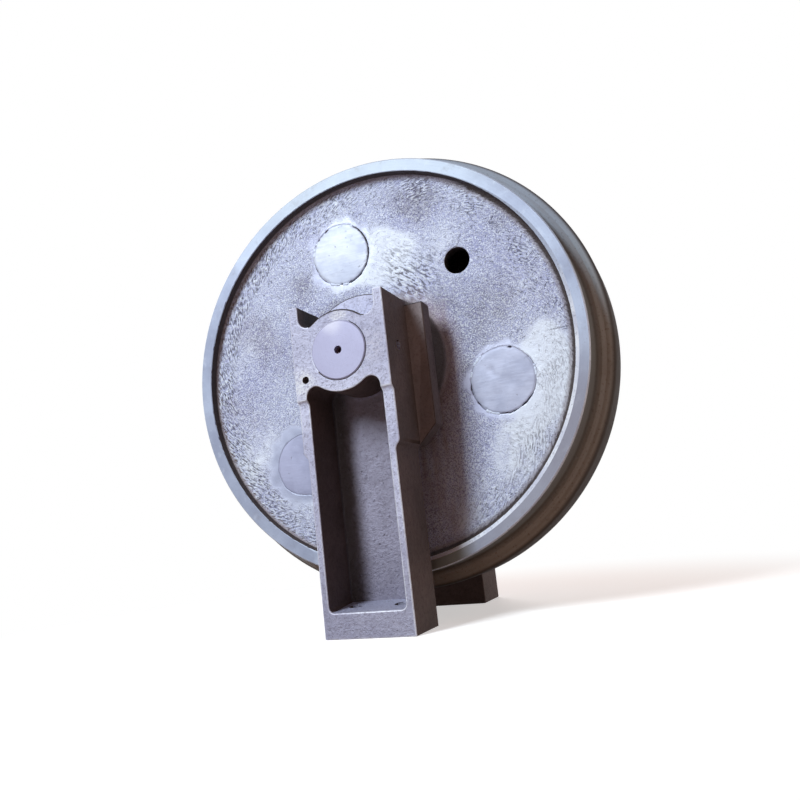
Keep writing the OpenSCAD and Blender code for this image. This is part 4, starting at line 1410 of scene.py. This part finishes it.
# The painted shadow on the inner wall of the left horn.
HORN_PAINTED_SHADOW = [((-0.0575, -0.16, 0.432), 0.045, tone(30, 25, 21), 0.1)]
bracket_finishes = [
    sand_cast(
        "bracket_front",
        light=tone(219, 223, 249),
        mid=tone(194, 197, 225),
        dark=tone(130, 128, 152),
        grain=360.0,
        depth=0.0022,
        pits=0.7,
        rough_base=0.5,
        grit=0.6,
        marks=FRONT_MARKS,
        low_painted_shade=0.5,
        ring_top_line=0.9,
    ),
    sand_cast(
        "bracket_flank",
        light=tone(104, 90, 88),
        mid=tone(86, 74, 72),
        dark=tone(62, 53, 52),
        marks=HORN_PAINTED_SHADOW,
        grain=240.0,
        depth=0.0009,
        pits=0.5,
        rough_base=0.68,
        flecks=0.3,
        metallic=0.0,
        gloss=0.2,
    ),
    sand_cast(
        "pocket_floor",
        light=tone(178, 176, 200),
        mid=tone(156, 153, 174),
        dark=tone(110, 106, 122),
        grain=230.0,
        depth=0.0028,
        pits=0.9,
        rough_base=0.58,
        flecks=0.6,
        low_painted_shade=0.5,
        left_wall_shadow=0.85,
    ),
    sand_cast(
        "worn_edge",
        light=tone(226, 230, 244),
        mid=tone(186, 186, 208),
        dark=tone(130, 126, 144),
        grain=260.0,
        depth=0.0009,
        pits=0.4,
        rough_base=0.45,
        metallic=0.2,
    ),
    sand_cast(
        "dark_edge",
        light=tone(66, 58, 62),
        mid=tone(48, 41, 42),
        dark=tone(32, 27, 27),
        grain=260.0,
        depth=0.0006,
        pits=0.3,
        rough_base=0.6,
        flecks=0.2,
        metallic=0.0,
        gloss=0.2,
    ),
    sand_cast(
        "guide_face_painted_shadow",
        light=tone(150, 139, 142),
        mid=tone(132, 121, 124),
        dark=tone(104, 93, 94),
        grain=260.0,
        depth=0.0009,
        pits=0.5,
        rough_base=0.62,
        flecks=0.3,
        metallic=0.0,
        gloss=0.3,
    ),
]
for piece in brackets:
    for finish in bracket_finishes:
        piece.data.materials.append(finish)

# %% [markdown]
# ## Sand left in the pocket
# Grains of moulding sand stayed stuck to the floor of each pocket. They are scattered by a second tree:
# points are strewn over a sheet that lies on the floor, and each gets a small flat grain of random size.

# %% The grit tree
grit_tree, grit_in = start_tree(
    "pocket_grit",
    [
        ("Grains per square metre", "NodeSocketFloat"),
        ("Grain size", "NodeSocketFloat"),
        ("Grain height", "NodeSocketFloat"),
        ("Seed", "NodeSocketInt"),
    ],
)
strewn = add_node(
    grit_tree,
    "GeometryNodeDistributePointsOnFaces",
    None,
    {
        "Mesh": grit_in["Geometry"],
        "Density": grit_in["Grains per square metre"],
        "Seed": grit_in["Seed"],
    },
)
GRAIN_SIZE = ("Grain size", "Grain height", (0.35, 1.3))
grains = set_blobs(grit_tree, grit_in, strewn.outputs[0], *GRAIN_SIZE)
finish_tree(grit_tree, grains, bracket_finishes[POCKET])

# %% Strew the grit
POCKET_HALF = 50.0
POCKET_TOP = -62.0
POCKET_BOTTOM = -334.0
GRIT = {"Grains per square metre": 6500.0, "Grain size": 0.0036, "Grain height": 0.0011}


def pocket_sheet(side):
    turn = TURN[side]
    corners = [(-POCKET_HALF, POCKET_BOTTOM), (POCKET_HALF, POCKET_BOTTOM)]
    corners += [(POCKET_HALF, POCKET_TOP), (-POCKET_HALF, POCKET_TOP)]
    points = [(turn * x * MM, -turn * POCKET_FLOOR * MM, AXLE.z + z * MM) for x, z in corners]
    sheet = bpy.data.meshes.new(side + "_pocket_sheet")
    sheet.from_pydata(points, [], [(0, 1, 2, 3)])
    return sheet


for side, seed in (("near", 5), ("far", 8)):
    grit = grow(side + "_pocket_grit", grit_tree, pocket_sheet(side), {**GRIT, "Seed": seed})
    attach(grit, "frame")

# %% [markdown]
# ## Shaft, pins, plug, bushes and seals
# These solids already have their true shapes, so they stay and only get a finish: a ground shaft end with
# faint turning rings, dull spring steel for the pins, a black-oxide plug, leaded bronze, chilled seal iron
# and rubber. Most are hidden until someone takes the idler apart.


# %% Small finishes
SHAFT_PAINTED_HIGHLIGHT = (-0.0063, -0.2, 0.4133)


def turned_steel(name, light, dark, per_metre, roughness, metallic):
    finish = Finish(name)
    marks = finish.rings(per_metre)
    cloud = finish.noise(22.0, detail=4.0)
    scuff = finish.between(finish.noise(70.0, detail=6.0, rough=0.7), 0.6, 0.72)
    steel = finish.mixed(0.55 * cloud + 0.3 * marks, light, dark)
    steel = finish.mixed(0.3 * scuff, steel, dark)
    speck = finish.between(finish.noise(380.0, detail=2.0), 0.5, 0.66)
    steel = finish.mixed(0.25 * speck, steel, dark)
    # A painted highlight near the upper left of the shaft end.
    painted_highlight = finish.between(finish.distance(SHAFT_PAINTED_HIGHLIGHT) + 0.01 * (cloud - 0.5), 0.022, 0.002)
    steel = finish.mixed(0.4 * painted_highlight, steel, tone(226, 226, 234))
    normal = finish.bump(marks + 0.4 * finish.noise(800.0), 0.0001, 0.5)
    return finish.done(steel, roughness + 0.15 * cloud, normal, metallic=metallic, gloss=0.45)


def dull(name, light, dark, grain, roughness, metallic):
    finish = Finish(name)
    cloud = finish.noise(40.0, detail=5.0)
    speck = finish.noise(grain, detail=3.0)
    surface = finish.mixed(finish.between(cloud, 0.3, 0.7), dark, light)
    surface = finish.mixed(0.4 * finish.between(speck, 0.52, 0.7), surface, dark)
    normal = finish.bump(speck, 0.0003, 0.5)
    return finish.done(surface, roughness + 0.15 * (speck - 0.5), normal, metallic=metallic, gloss=0.4)


INNER_FINISHES = {
    "shaft": turned_steel("ground_shaft", tone(178, 179, 208), tone(150, 148, 178), 700.0, 0.42, 0.2),
    "oil_plug": dull("plug_oxide", tone(112, 84, 98), tone(70, 50, 58), 300.0, 0.5, 0.3),
    "lock_pin": dull("spring_pin", tone(70, 60, 58), tone(44, 36, 34), 350.0, 0.5, 0.3),
    "bush": turned_steel("leaded_bronze", tone(196, 152, 92), tone(150, 108, 62), 600.0, 0.35, 0.8),
    "seal": turned_steel("chilled_iron", tone(150, 150, 156), tone(104, 104, 110), 800.0, 0.28, 0.8),
    "toric": dull("toric_rubber", tone(38, 38, 40), tone(22, 22, 24), 500.0, 0.65, 0.0),
    "oring": dull("oring_rubber", tone(34, 34, 36), tone(20, 20, 22), 500.0, 0.6, 0.0),
}
dressed = 0
for name, node in NODES.items():
    for ending, material in INNER_FINISHES.items():
        if name.endswith(ending):
            node.data.materials.clear()
            node.data.materials.append(material)
            dressed += 1
print("dressed", dressed, "solids as they are")
